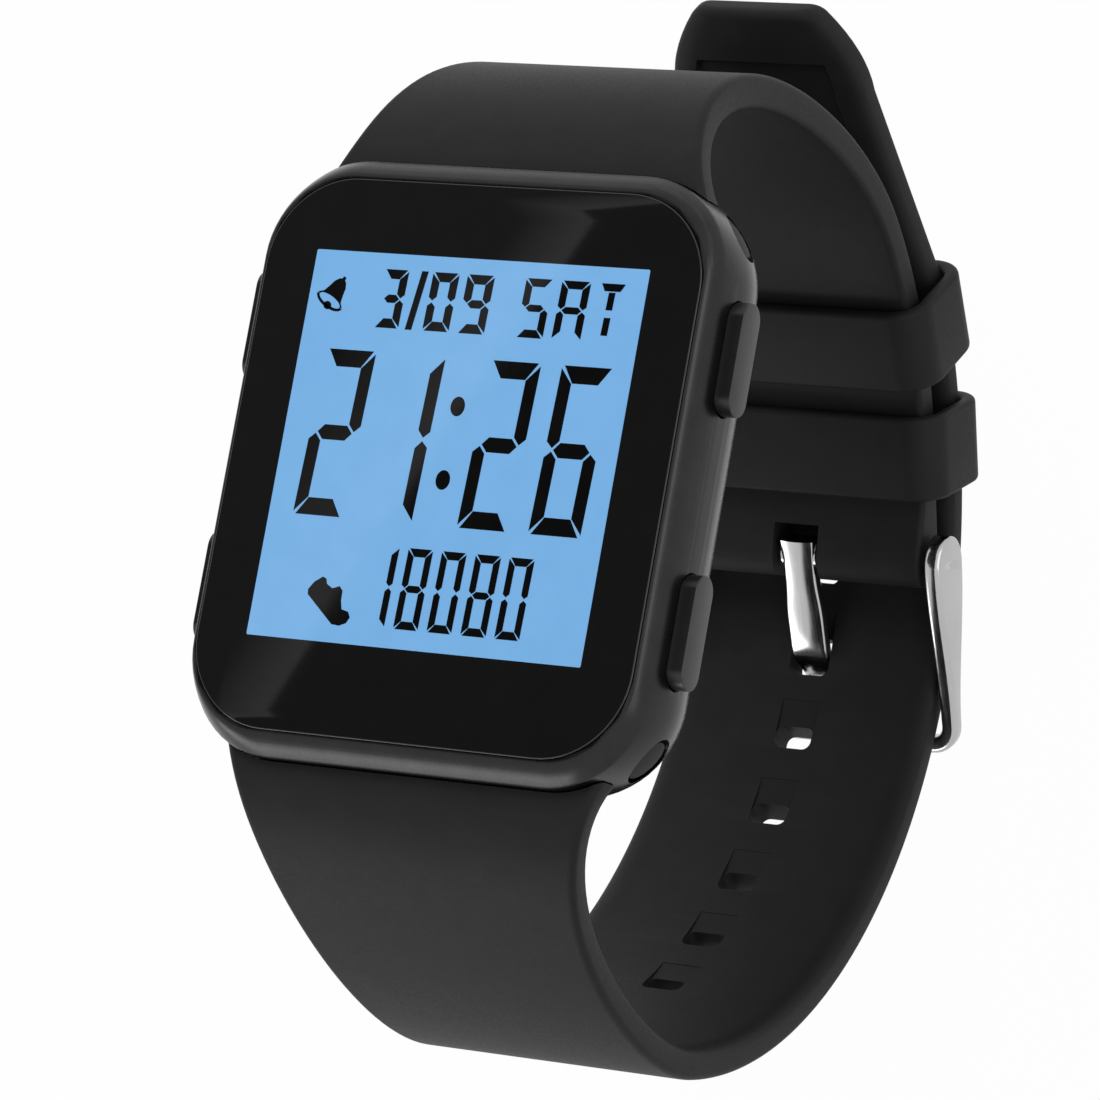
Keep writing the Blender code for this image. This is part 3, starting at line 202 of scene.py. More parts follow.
# Buckle
BAR_ANGLE = 14.4
BAR_BORE = 1.56
BAR_END = 12.03
END_THICKNESS = 3.6
END_REACH = 6.0
END_NOSE = 1.9
NOSE_ROUNDING = 0.75
NOSE_STEPS = 8
NOTCH_WIDTH = 3.7
NOTCH_DEPTH = 2.2
ARM_THICKNESS = 1.3
ARM_X = 11.5
ARM_EDGE = 0.42
ARM_EDGE_STEPS = 5
ARM_EDGE_LIMIT = 0.95
EAR_RADIUS = 2.2
EAR_START = 8.0
EAR_STEPS = 10
ARM_STEPS = 14
FRAME_CORNER = 1.5
FRAME_STEPS = 8
FAR_BAR_DIAMETER = 1.36
FAR_BAR_HEIGHT = 0.665
FAR_BAR_ANGLE = -8.4
FAR_BAR_GAP = 0.32
TONGUE_WIDTHS = ((0.0, 2.85), (0.22, 2.6), (0.36, 3.0), (0.75, 2.95), (1.0, 2.8))
TONGUE_THICKNESS = 0.95
TONGUE_TIP_THICKNESS = 0.66
TONGUE_HUB = 3.0
HUB_DIAMETER = 2.6
TONGUE_EDGE = 0.2
TONGUE_EDGE_STEPS = 3
TONGUE_CROWN = 0.16
TONGUE_CROWNS = ((0.0, TONGUE_CROWN), (0.42, TONGUE_CROWN), (0.56, 0.01), (1.0, 0.01))
CROWN_STEPS = 10
TONGUE_HEEL = 1.45
TONGUE_STRAIGHT = 0.5
TONGUE_TAPER = 3
TONGUE_TURNS = (1.3, 0.15, -0.35, -1.0)
TONGUE_RISES = (-0.9, 0.12, -0.08, 0.75)
TONGUE_STEPS = 8
TIP_NOTCH_DEPTH = 0.8
TIP_GAP = 0.1
TIP_OVERHANG = 0.5
DIMPLE_DIAMETER = 0.6
DIMPLE_DEPTH = 0.1
DIMPLE_POINT = 0.1

# Keepers
KEEPER_WIDTH = 6.4
KEEPER_WALL = 1.1
KEEPER_INNER_WIDTH = 21.7
KEEPER_GAP = 0.3
KEEPER_BEND = 2.2
KEEPER_EDGE = 0.36
KEEPER_EDGE_STEPS = 4
FIXED_KEEPER_ANGLE = 27.5
FREE_KEEPER_ANGLE = 41.8


# Mesh helpers

def to_mesh(bm):
    """Turn a bmesh into a mesh, with its faces pointing out."""
    bm.normal_update()
    bmesh.ops.recalc_face_normals(bm, faces=bm.faces)
    mesh = bpy.data.meshes.new("shape")
    bm.to_mesh(mesh)
    bm.free()
    return mesh


def skin(bm, rings, closed=False):
    """Add the skin of a row of like-numbered rings, whose ends meet or are capped."""
    rows = [[bm.verts.new(point) for point in ring] for ring in rings]
    after_rows = rows[1:] + rows[:1] if closed else rows[1:]
    for low, high in zip(rows, after_rows):
        for here in range(len(low)):
            after = (here + 1) % len(low)
            bm.faces.new((low[here], low[after], high[after], high[here]))
    if not closed:
        bm.faces.new(rows[0])
        bm.faces.new(rows[-1])


def loft(rings, closed=False):
    """A mesh skinned over a row of rings."""
    bm = bmesh.new()
    skin(bm, rings, closed)
    return to_mesh(bm)


def rounded_outline(width, length, corner, steps=CORNER_STEPS):
    """Points round a rounded rectangle centred on the origin."""
    points = []
    for quarter, (side, end) in enumerate(((1, 1), (-1, 1), (-1, -1), (1, -1))):
        for step in range(steps + 1):
            angle = math.radians(90 * (quarter + step / steps))
            across = side * (width / 2 - corner) + corner * math.cos(angle)
            along = end * (length / 2 - corner) + corner * math.sin(angle)
            points.append((across, along))
    return points


def stack(outline, levels, axis=2, centre=(0, 0, 0)):
    """A loft of rounded rectangles along an axis: each level is a height and an inset."""
    width, length, corner = outline
    rings = []
    for height, inset in levels:
        ring = rounded_outline(width - 2 * inset, length - 2 * inset, max(corner - inset, SMALL))
        if axis == 2:
            rings.append([Vector((x, y, height)) + Vector(centre) for x, y in ring])
        else:
            rings.append([Vector((height, x, y)) + Vector(centre) for x, y in ring])
    return loft(rings)


def eased_edge(height, radius, steps):
    """Levels round an eased edge, as heights up to a flat face and insets."""
    levels = []
    for step in range(steps + 1):
        angle = math.radians(90 * step / steps)
        levels.append((height - radius * (1 - math.sin(angle)), radius * (1 - math.cos(angle))))
    return levels


def box(size, centre=(0, 0, 0), place=(0, 0, 0), turn=0.0):
    """A box that only shapes other pieces, turned about X."""
    bm = bmesh.new()
    bmesh.ops.create_cube(bm, size=1.0)
    bmesh.ops.scale(bm, vec=size, verts=bm.verts)
    bmesh.ops.translate(bm, vec=centre, verts=bm.verts)
    bm.transform(Matrix.Translation(place) @ Matrix.Rotation(turn, 4, 'X'))
    return to_mesh(bm)


def rod(diameter, start, end, place, end_diameter=None):
    """A round rod along X that joins or shapes other pieces."""
    radii = ((start, diameter / 2), (end, (end_diameter or diameter) / 2))
    rings = []
    for x, radius in radii:
        turns = [2 * math.pi * step / ROD_STEPS for step in range(ROD_STEPS)]
        ring = [Vector((x, radius * math.cos(turn), radius * math.sin(turn))) for turn in turns]
        rings.append([point + Vector(place) for point in ring])
    return loft(rings)


def add(name, data):
    """An object in the scene."""
    item = bpy.data.objects.new(name, data)
    bpy.context.scene.collection.objects.link(item)
    return item


def carved(mesh, *steps):
    """Apply Booleans to a mesh: each step is an operation and a tool's mesh."""
    holder = add("holder", mesh)
    tools = []
    for operation, tool in steps:
        helper = add("tool", tool)
        tools.append(helper)
        modifier = holder.modifiers.new("step", 'BOOLEAN')
        modifier.operation = operation
        modifier.solver = 'EXACT'
        modifier.object = helper
    bpy.context.view_layer.update()
    seen = holder.evaluated_get(bpy.context.evaluated_depsgraph_get())
    result = bpy.data.meshes.new_from_object(seen)
    for item in (holder, *tools):
        bpy.data.objects.remove(item, do_unlink=True)
    return result


def piece(name, mesh, slot, body, *replaced, finish_name=None):
    """A piece of the watch that rides a body and stands for CAD nodes."""
    mesh.transform(TO_WORLD)
    mesh.name = name
    mesh.materials.clear()
    mesh.materials.append(FINISHES[finish_name or slot])
    mesh.shade_smooth()
    mesh.set_sharp_from_angle(angle=math.radians(SHARP_ANGLE))
    item = add(name, mesh)
    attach(item, body)
    if replaced:
        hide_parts(*replaced)
    return item


def smoothstep(share):
    """Ease from 0 to 1."""
    share = min(max(share, 0.0), 1.0)
    return share * share * (3 - 2 * share)


def profile(stops, share):
    """A value eased between the stops of a profile."""
    for (low, start), (high, end) in zip(stops, stops[1:]):
        if share <= high:
            return start + (end - start) * smoothstep((share - low) / (high - low))
    return stops[-1][1]


# Finishes

MOTTLE_DETAIL = 4.0
GRAIN_DETAIL = 2.0
GRAIN_HEIGHT = 0.02
NOISE_RANGE = (0.3, 0.7)
WEAR_RANGE = (0.52, 0.6)
WEAR_LIFT = 3
FINISHES = {}


def put(node, socket, value):
    """Set a node's socket."""
    node.inputs[socket].default_value = value


def noise(nodes, links, place, scale, detail):
    """A noise texture on the object's own coordinates."""
    texture = nodes.new("ShaderNodeTexNoise")
    put(texture, "Scale", scale)
    put(texture, "Detail", detail)
    links.new(place, texture.inputs["Vector"])
    return texture.outputs["Fac"]


def finish(name, dark, light, gloss, metallic=0.0, mottle=450.0, grain=5200.0, depth=0.06, stretch=(1, 1, 1),
           wear=0.0, sockets=()):
    """A procedural finish: mottled colour, uneven gloss, fine grain and paler worn edges."""
    result = bpy.data.materials.new(name)
    result.use_nodes = True
    nodes = result.node_tree.nodes
    links = result.node_tree.links
    shader = nodes["Principled BSDF"]
    put(shader, "Metallic", metallic)
    for socket, value in sockets:
        put(shader, socket, value)
    place = nodes.new("ShaderNodeTexCoord").outputs["Object"]
    if stretch != (1, 1, 1):
        mapping = nodes.new("ShaderNodeMapping")
        put(mapping, "Scale", stretch)
        links.new(place, mapping.inputs["Vector"])
        place = mapping.outputs["Vector"]
    cloud = noise(nodes, links, place, mottle, MOTTLE_DETAIL)
    fine = noise(nodes, links, place, grain, GRAIN_DETAIL)
    ramp = nodes.new("ShaderNodeValToRGB")
    for element, position, shade in zip(ramp.color_ramp.elements, NOISE_RANGE, (dark, light)):
        element.position = position
        element.color = (*shade, 1)
    links.new(cloud, ramp.inputs["Fac"])
    colour = ramp.outputs["Color"]
    if wear:
        edge = nodes.new("ShaderNodeMapRange")
        put(edge, "From Min", WEAR_RANGE[0])
        put(edge, "From Max", WEAR_RANGE[1])
        put(edge, "To Max", wear)
        links.new(nodes.new("ShaderNodeNewGeometry").outputs["Pointiness"], edge.inputs["Value"])
        worn = nodes.new("ShaderNodeMix")
        worn.data_type = 'RGBA'
        links.new(edge.outputs["Result"], worn.inputs["Factor"])
        links.new(colour, worn.inputs[6])
        worn.inputs[7].default_value = (*(WEAR_LIFT * value for value in light), 1)
        colour = worn.outputs[2]
    links.new(colour, shader.inputs["Base Color"])
    rough = nodes.new("ShaderNodeMapRange")
    put(rough, "From Min", NOISE_RANGE[0])
    put(rough, "From Max", NOISE_RANGE[1])
    put(rough, "To Min", gloss[0])
    put(rough, "To Max", gloss[1])
    links.new(fine, rough.inputs["Value"])
    links.new(rough.outputs["Result"], shader.inputs["Roughness"])
    bump = nodes.new("ShaderNodeBump")
    put(bump, "Strength", depth)
    put(bump, "Distance", GRAIN_HEIGHT * MM)
    links.new(fine, bump.inputs["Height"])
    links.new(bump.outputs["Normal"], shader.inputs["Normal"])
    FINISHES[name] = result


def grey(value):
    """A neutral colour."""
    return (value, value, value)


finish("gunmetal", grey(0.029), grey(0.034), (0.24, 0.28), 1.0, depth=0.0, wear=0.12)
finish("button_metal", grey(0.045), grey(0.051), (0.3, 0.34), 1.0, depth=0.0, wear=0.1)
finish("glass", grey(0.0086), grey(0.0094), (0.03, 0.045), depth=0.0)
finish("ink", grey(0.004), grey(0.006), (0.03, 0.045), depth=0.0)
finish("lcd", (0.212, 0.495, 0.875), (0.226, 0.515, 0.905), (0.03, 0.045), grain=9000.0,
       depth=0.0)
finish("light_guide", (0.7, 0.78, 0.86), (0.78, 0.84, 0.92), (0.35, 0.45))
finish("white_plastic", grey(0.7), grey(0.78), (0.42, 0.55))
finish("rubber", grey(0.017), grey(0.023), (0.62, 0.75))
finish("board", (0.015, 0.13, 0.05), (0.025, 0.18, 0.07), (0.4, 0.55))
finish("chip", grey(0.017), grey(0.024), (0.38, 0.5))
finish("steel", grey(0.52), grey(0.62), (0.2, 0.3), 1.0)
finish("brass", (0.62, 0.42, 0.16), (0.74, 0.53, 0.22), (0.24, 0.36), 1.0)
finish("silicone", grey(0.0155), grey(0.0185), (0.5, 0.6), depth=0.1, wear=0.1,
       sockets=(("Specular IOR Level", 0.12),))
finish("polished_steel", grey(0.42), grey(0.47), (0.14, 0.22), 1.0, grain=2600.0,
       stretch=(3, 0.25, 0.25), depth=0.04)


def dress_frame():
    """Give the CAD nodes that stay in sight or inside the finish of their slot."""
    for row in frame["record"]["subparts"]:
        node = frame["nodes"][row["node"]]
        node.data.materials.clear()
        node.data.materials.append(FINISHES[row["material_slot"]])


# Case, back and lens

def case_insets(drop):
    """How far the case draws in at its sides and ends, at a drop below the lens face."""
    if drop <= WAIST_DROP:
        share = (WAIST_DROP - drop) / (WAIST_DROP - RIM_DROP)
        bow = 1 - math.sqrt(max(1 - share * share, 0))
        bow = RIM_FULLNESS * bow + (1 - RIM_FULLNESS) * share * share
        fall = min((drop - RIM_DROP) / (BEZEL_DROP - RIM_DROP), 1.0)
        return SIDE_RIM_INSET * bow, BEZEL_INSET * (1 - fall ** BEZEL_BOW)
    share = (drop - WAIST_DROP) / (BACK_DROP - WAIST_DROP)
    bow = 1 - math.sqrt(max(1 - share * share, 0))
    return BACK_INSET * bow, BACK_INSET * bow


def case_shape(top, bottom, growth=0.0):
    """The outside of the case between two drops, grown on every side."""
    drops = []
    for step in range(-CASE_STEPS, CASE_STEPS + 1):
        reach = WAIST_DROP - RIM_DROP if step < 0 else BACK_DROP - WAIST_DROP
        drops.append(WAIST_DROP + reach * math.sin(math.radians(90 * step / CASE_STEPS)))
    drops += [RIM_DROP + (BEZEL_DROP - RIM_DROP) * (step / CASE_STEPS) ** 2 for step in range(CASE_STEPS + 1)]
    drops = sorted(set(round(drop, 3) for drop in drops))
    inside = [drop for drop in drops if top + SEAT < drop < bottom - SEAT]
    rings = []
    for drop in (top, *inside, bottom):
        across, along = case_insets(drop)
        corner = CASE_CORNER + growth - (across + along) / 2
        width = CASE_WIDTH + 2 * (growth - across)
        length = CASE_LENGTH + 2 * (growth - along)
        outline = rounded_outline(width, length, corner)
        rings.append([(x, y, -drop) for x, y in outline])
    return loft(rings)


def pocket(side, end):
    """The hollow that a button sits in, flared at its mouth."""
    height = BUTTON_HEIGHT + 2 * POCKET_GAP
    edge = CASE_WIDTH / 2
    levels = [(side * POCKET_FLOOR, 0), (side * (edge - POCKET_FLARE), 0), (side * edge, -POCKET_FLARE),
              (side * BUTTON_FACE, -POCKET_FLARE - CUT_MARGIN)]
    outline = (BUTTON_LENGTH + 2 * POCKET_GAP, height, STADIUM * height)
    return stack(outline, levels, 0, (0, end * BUTTON_Y, -BUTTON_DROP))


def build_case():
    """The case: a shell open at the front and back, with button pockets and strap slots."""
    seat = (LENS[0] + 2 * LENS_GAP, LENS[1] + 2 * LENS_GAP, LENS[2] + LENS_GAP)
    steps = [('DIFFERENCE', stack(seat, [(CUT_MARGIN, 0), (-LEDGE_DROP, 0)])),
             ('DIFFERENCE', stack(CAVITY, [(-CUT_MARGIN, 0), (-BACK_DROP, 0)]))]
    for side in (1, -1):
        slot = rod(SLOT_DIAMETER, -CASE_WIDTH, CASE_WIDTH, (0, side * LUG_Y, -SLOT_DROP))
        steps.append(('DIFFERENCE', slot))
        mouth = box((MOUTH_WIDTH, CASE_LENGTH / 2, MOUTH_HEIGHT), (0, side * CASE_LENGTH / 4, 0),
                    (0, side * LUG_Y, -NECK_DROP))
        steps.append(('DIFFERENCE', mouth))
        for end in (1, -1):
            steps.append(('DIFFERENCE', pocket(side, end)))
            bore = rod(BORE_DIAMETER, side * CASE_WIDTH / 4, side * CASE_WIDTH / 2,
                       (0, end * BUTTON_Y, -BUTTON_DROP))
            steps.append(('DIFFERENCE', bore))
    piece("case_shell", carved(case_shape(RIM_DROP, SPLIT_DROP), *steps), "gunmetal", "watch", "case_body")


def screw_head(side, end):
    """A back screw with a crossed recess in its rounded head."""
    outline = (SCREW_DIAMETER, SCREW_DIAMETER, SCREW_DIAMETER / 2)
    levels = [(SCREW_TOP, 0), (SCREW_FACE + SCREW_ROUNDING, 0),
              (SCREW_FACE + SCREW_ROUNDING / 3, SCREW_ROUNDING / 3), (SCREW_FACE, SCREW_ROUNDING)]
    place = (side * SCREW_X, end * SCREW_Y, 0)
    cuts = []
    for size in ((CROSS_LENGTH, CROSS_WIDTH), (CROSS_WIDTH, CROSS_LENGTH)):
        cuts.append(('DIFFERENCE', box((*size, 2 * CROSS_DEPTH), (0, 0, SCREW_FACE), place)))
    return carved(stack(outline, levels, 2, place), *cuts)


def build_back():
    """The back cover and its four sunken screws."""
    steps = []
    for side, hand in ((1, "right"), (-1, "left")):
        for end, level in ((1, "upper"), (-1, "lower")):
            outline = (SINK_DIAMETER, SINK_DIAMETER, SINK_DIAMETER / 2)
            sink = stack(outline, [(SCREW_TOP + SEAT, 0), (-2 * BACK_DROP, 0)], 2,
                         (side * SCREW_X, end * SCREW_Y, 0))
            steps.append(('DIFFERENCE', sink))
            name = f"back_screw_{level}_{hand}"
            piece(name + "_head", screw_head(side, end), "steel", "watch", name)
    cover = carved(case_shape(SPLIT_DROP + SEAT, BACK_DROP), *steps)
    piece("back_shell", cover, "gunmetal", "watch", "back_cover")


def build_lens():
    """The black lens with its eased edge, and the display laminated in it."""
    levels = [(-LENS_THICKNESS, 0)] + eased_edge(LENS_TOP, LENS_BEVEL, LENS_STEPS)
    piece("lens_glass", stack(LENS, levels), "glass", "watch", "front_lens")
    panel = stack(WINDOW, [(PANEL_BOTTOM, 0), (PANEL_TOP, 0)], 2, (0, WINDOW_RISE, 0))
    piece("display_panel", panel, "lcd", "watch")
    bm = bmesh.new()
    for outline in display_outlines():
        skin(bm, [[(x, y, z) for x, y in outline] for z in (PANEL_TOP - INK_SINK, INK_TOP)])
    piece("display_digits", to_mesh(bm), "ink", "watch")


# What the display shows

LIT = {"0": "abcdef", "1": "bc", "2": "abdeg", "3": "abcdg", "6": "acdefg", "8": "abcdefg", "9": "abcdfg",
       "S": "acdfg", "A": "abcefg"}
DATE_ROW = dict(top=13.05, bottom=8.95, rail=0.66, post=0.61, gap=0.07, slant=0.02)
DAY_ROW = dict(top=13.05, bottom=8.95, rail=0.56, post=0.55, gap=0.07, slant=0.02)
TIME_ROW = dict(top=7.25, bottom=-4.35, rail=1.2, post=0.94, gap=0.12, slant=0.03)
STEP_ROW = dict(top=-6.03, bottom=-11.6, rail=0.56, post=0.5, gap=0.06, slant=0.02)
FIGURES = (
    ("3", -7.38, -5.45, DATE_ROW), ("0", -3.55, -1.5, DATE_ROW), ("9", -0.85, 1.25, DATE_ROW),
    ("S", 3.7, 5.78, DAY_ROW), ("A", 6.45, 8.65, DAY_ROW),
    ("2", -10.88, -7.0, TIME_ROW), ("1", -5.5, -1.55, TIME_ROW), ("2", 1.98, 5.85, TIME_ROW),
    ("6", 7.45, 11.4, TIME_ROW),
    ("1", -4.2, -2.31, STEP_ROW), ("8", -1.6, 0.3, STEP_ROW), ("0", 1.0, 2.9, STEP_ROW),
    ("8", 3.6, 5.54, STEP_ROW), ("0", 6.2, 8.1, STEP_ROW),
)
SLASH = ((-4.41, 13.06), (-3.9, 13.06), (-4.45, 8.93), (-4.96, 8.93))
LETTER_T = (((9.51, 13.03), (11.31, 13.03), (11.0, 12.5), (9.8, 12.5)),
            ((10.15, 12.42), (10.65, 12.42), (10.61, 11.2), (10.11, 11.2)),
            ((10.1, 10.68), (10.6, 10.68), (10.56, 9.45), (10.06, 9.45)))
COLON = ((0.22, 3.9), (0.1, -1.2))
COLON_SIZE = (0.55, 0.68)
BELL_PLACE = (-11.25, 10.6)
BELL_TILT = -28.0
BELL_SIZE = 1.08
SHOE_PLACE = (-8.72, -9.8)
SHOE_TILT = -40.0
BAR_HALF = 0.43
BAR_SHOULDER = 0.36
END_GAP = 1.6
MITRE_GAP = 0.4


def segment(letter, left, right, top, bottom, rail, post, gap):
    """The outline of one bar of a seven-bar figure."""
    middle = (top + bottom) / 2
    across = left + right
    if letter == "g":
        return [(left + post / 2 + gap, middle), (left + post + gap, middle + BAR_HALF * rail),
                (right - post - gap, middle + BAR_HALF * rail), (right - post / 2 - gap, middle),
                (right - post - gap, middle - BAR_HALF * rail), (left + post + gap, middle - BAR_HALF * rail)]
    if letter in "ad":
        points = [(left + END_GAP * gap, top), (right - END_GAP * gap, top),
                  (right - post - MITRE_GAP * gap, top - rail), (left + post + MITRE_GAP * gap, top - rail)]
    else:
        points = [(right, top - END_GAP * gap), (right, middle + BAR_SHOULDER * rail + gap),
                  (right - post / 2, middle + gap),
                  (right - post, middle + BAR_HALF * rail + gap),
                  (right - post, top - rail - MITRE_GAP * gap)]
    if letter in "dce":
        points = [(x, top + bottom - y) for x, y in points]
    if letter in "fe":
        points = [(across - x, y) for x, y in points]
    return points


def figure_outlines(sign, left, right, row):
    """The lit bars of a figure, leaning as its row does."""
    sizes = [row[key] for key in ("top", "bottom", "rail", "post", "gap")]
    middle = (row["top"] + row["bottom"]) / 2
    outlines = []
    for letter in LIT[sign]:
        points = segment(letter, left, right, *sizes)
        outlines.append([(x + row["slant"] * (y - middle), y) for x, y in points])
    return outlines


def ellipse(centre, across, along, start=0, end=360, steps=24):
    """Points on part of an ellipse."""
    points = []
    for step in range(steps):
        angle = math.radians(start + (end - start) * step / (steps - (0 if end - start == 360 else 1)))
        points.append((centre[0] + across * math.cos(angle), centre[1] + along * math.sin(angle)))
    return points


def turned(points, place, tilt):
    """Points of a sign turned and put in place."""
    cosine = math.cos(math.radians(tilt))
    sine = math.sin(math.radians(tilt))
    return [(place[0] + cosine * x - sine * y, place[1] + sine * x + cosine * y) for x, y in points]


def bell_outlines():
    """A plain alarm bell: its body, the near half of its rim and its clapper."""
    far_rim = ellipse((0, 0), 0.92, 0.3, 180, 0, 13)
    body = [(-1.08, 0.06), (-0.78, 0.3), (-0.62, 0.75), (-0.5, 1.2), (-0.3, 1.5), (-0.12, 1.6), (-0.12, 1.78),
            (0.12, 1.78), (0.12, 1.6), (0.3, 1.5), (0.5, 1.2), (0.62, 0.75), (0.78, 0.3), (1.08, 0.06)]
    body += list(reversed(far_rim))
    near_rim = ellipse((0, 0), 1.12, 0.5, 180, 360, 17) + ellipse((0, 0), 0.92, 0.3, 360, 180, 17)
    clapper = ellipse((0.05, -0.33), 0.3, 0.26)
    signs = [[(BELL_SIZE * x, BELL_SIZE * y) for x, y in points] for points in (body, near_rim, clapper)]
    return [turned(points, BELL_PLACE, BELL_TILT) for points in signs]


def shoe_outlines():
    """A plain walking shoe, heel first along its sole."""
    shoe = [(0.0, 0.0), (2.95, 0.0), (3.45, 0.35), (3.7, 0.85), (3.6, 1.3), (3.2, 1.45), (2.7, 1.2),
            (2.2, 1.55), (1.75, 2.05), (1.35, 2.1), (1.05, 1.6), (0.5, 1.5),
            (0.2, 1.7), (-0.1, 1.6), (-0.3, 0.9), (-0.25, 0.25)]
    return [turned(shoe, SHOE_PLACE, SHOE_TILT)]


def display_outlines():
    """Every dark shape of the display."""
    outlines = [list(SLASH)] + [list(bar) for bar in LETTER_T]
    for sign, left, right, row in FIGURES:
        outlines += figure_outlines(sign, left, right, row)
    outlines += [ellipse(centre, *COLON_SIZE) for centre in COLON]
    return outlines + bell_outlines() + shoe_outlines()


# Buttons

def build_buttons():
    """Four pushers with eased edges, each on its stem."""
    for side, hand in ((1, "right"), (-1, "left")):
        for end, level in ((1, "upper"), (-1, "lower")):
            tag = f"{level}_{hand}"
            place = (0, end * BUTTON_Y, -BUTTON_DROP)
            levels = [(BUTTON_BASE, 0)] + eased_edge(BUTTON_FACE, BUTTON_EDGE, BUTTON_STEPS)
            levels = [(side * reach, inset) for reach, inset in levels]
            cap = stack((BUTTON_LENGTH, BUTTON_HEIGHT, STADIUM * BUTTON_HEIGHT), levels, 0, place)
            stem = rod(STEM_DIAMETER, side * STEM_END, side * (BUTTON_BASE + STEM_OVERLAP), place)
            piece("pusher_cap_" + tag, carved(cap, ('UNION', stem)), "gunmetal", "pusher_" + tag,
                  "button_" + tag, finish_name="button_metal")


# The strap's loop

def polar(centre, radius, angle):
    """The point of the loop's plane at an angle from straight down."""
    turn = math.radians(angle)
    return Vector((0, centre.y + radius * math.sin(turn), centre.z - radius * math.cos(turn)))


def outward(angle):
    """The direction away from the wrist at an angle from straight down."""
    return polar(Vector((0, 0, 0)), 1.0, angle)


def along_arc(angle):
    """The direction along the loop towards larger angles."""
    return outward(angle + 90)


def radial_turn(angle):
    """Turn about X that points a shape's own Z away from the wrist."""
    return math.pi + math.radians(angle)


LOOP_CENTRE = Vector((0, -0.8, -25.7))
OVERLAP_CENTRE = LOOP_CENTRE - (OVERLAP_RADIUS - LOOP_RADIUS) * outward(OVERLAP_ANGLE)
INNER_RADIUS = OVERLAP_RADIUS - STRAP_THICKNESS - LAYER_GAP
LOOP_INSIDE = LOOP_RADIUS - STRAP_THICKNESS / 2
LOOP_OUTSIDE = LOOP_RADIUS + STRAP_THICKNESS / 2
BAR_CENTRE = polar(OVERLAP_CENTRE, INNER_RADIUS, BAR_ANGLE)
FAR_BAR_CENTRE = polar(LOOP_CENTRE, LOOP_OUTSIDE + FAR_BAR_GAP + FAR_BAR_DIAMETER / 2, FAR_BAR_ANGLE)


def blend(start, start_pull, end, end_pull, share):
    """A point and its direction on the curve between two points with set directions."""
    square = share * share
    cube = square * share
    point = ((2 * cube - 3 * square + 1) * start + (cube - 2 * square + share) * start_pull
             + (3 * square - 2 * cube) * end + (cube - square) * end_pull)
    heading = ((6 * square - 6 * share) * (start - end) + (3 * square - 4 * share + 1) * start_pull
               + (3 * square - 2 * share) * end_pull)
    return point, heading.normalized()


def root_curve(side, tilt, pulls, end, end_heading):
    """The free stretch of strap from the case to the loop's arc, as points and outward normals."""
    angle = math.radians(tilt)
    away = Vector((0, side * math.cos(angle), math.sin(angle)))
    bend = Vector((0, side * ROOT_BEND, -ROOT_DROP))
    straight = ROOT_BEND - ROOT_START
    count = math.ceil(straight / STRAP_STEP)
    points = [(bend - straight * (1 - step / count) * away, away) for step in range(count)]
    steps = math.ceil(sum(pulls) / STRAP_STEP / 2)
    for step in range(steps):
        points.append(blend(bend, pulls[0] * away, end, pulls[1] * end_heading, step / steps))
    return [(point, side * Vector((0, -heading.z, heading.y))) for point, heading in points]


def arc_track(centre, radius, start, end):
    """Points and outward normals along an arc of the loop."""
    steps = math.ceil(radius * math.radians(abs(end - start)) / STRAP_STEP)
    angles = [start + (end - start) * step / steps for step in range(steps + 1)]
    return [(polar(centre, radius, angle), outward(angle)) for angle in angles]


def track_lengths(track):
    """The distance along a track to each of its points."""
    lengths = [0.0]
    for (point, _), (after, _) in zip(track, track[1:]):
        lengths.append(lengths[-1] + (after - point).length)
    return lengths


def strap_section(width, thickness, sunk, root, inner_edge):
    """A strap's outline: crowned outer edges, softer inner ones and a panel sunk in its inner side."""
    scale = min(1.0, thickness / (STRAP_THICKNESS - TIP_THINNING))
    under = tuple(edge + root * extra for edge, extra in zip(inner_edge, ROOT_UNDERCUT))
    corners = ((1, 1, 0, OUTER_EDGE), (-1, 1, 90, OUTER_EDGE), (-1, -1, 180, under), (1, -1, 270, under))
    border = PANEL_BORDER + root * ROOT_UNDERCUT[0]
    points = []
    for side, level, start, (across, deep) in corners:
        deep *= scale
        if level < 0 and side > 0:
            for gap in (PANEL_STEP, 0):
                points.append((width / 2 - border - gap, sunk * (gap > 0) - thickness / 2))
        for step in range(EDGE_STEPS + 1):
            angle = math.radians(start + 90 * step / EDGE_STEPS)
            points.append((side * (width / 2 - across) + across * math.cos(angle),
                           level * (thickness / 2 - deep) + deep * math.sin(angle)))
        if level < 0 and side < 0:
            for gap in (0, PANEL_STEP):
                points.append((border + gap - width / 2, sunk * (gap > 0) - thickness / 2))
    return points


def ribbon(track, widths, thicknesses, depths, inner_edge):
    """A strap along a track."""
    rings = []
    for (point, normal), width, thickness, sunk, length in zip(track, widths, thicknesses, depths,
                                                               track_lengths(track)):
        root = math.exp(-max(length - ROOT_DEPTH, 0) / ROOT_REACH)
        outline = strap_section(width, thickness, sunk, root, inner_edge)
        rings.append([Vector((x, 0, 0)) + point + (n - SKIN_DROP) * normal for x, n in outline])
    return loft(rings)


def root_widths(lengths):
    """Strap width and thickness near the case, where it flares."""
    fades = [math.exp(-max(length - ROOT_DEPTH, -ROOT_WRAP) / ROOT_REACH) for length in lengths]
    widths = [STRAP_WIDTH + ROOT_FLARE * fade for fade in fades]
    thicknesses = [STRAP_THICKNESS + ROOT_SWELL * fade for fade in fades]
    return widths, thicknesses


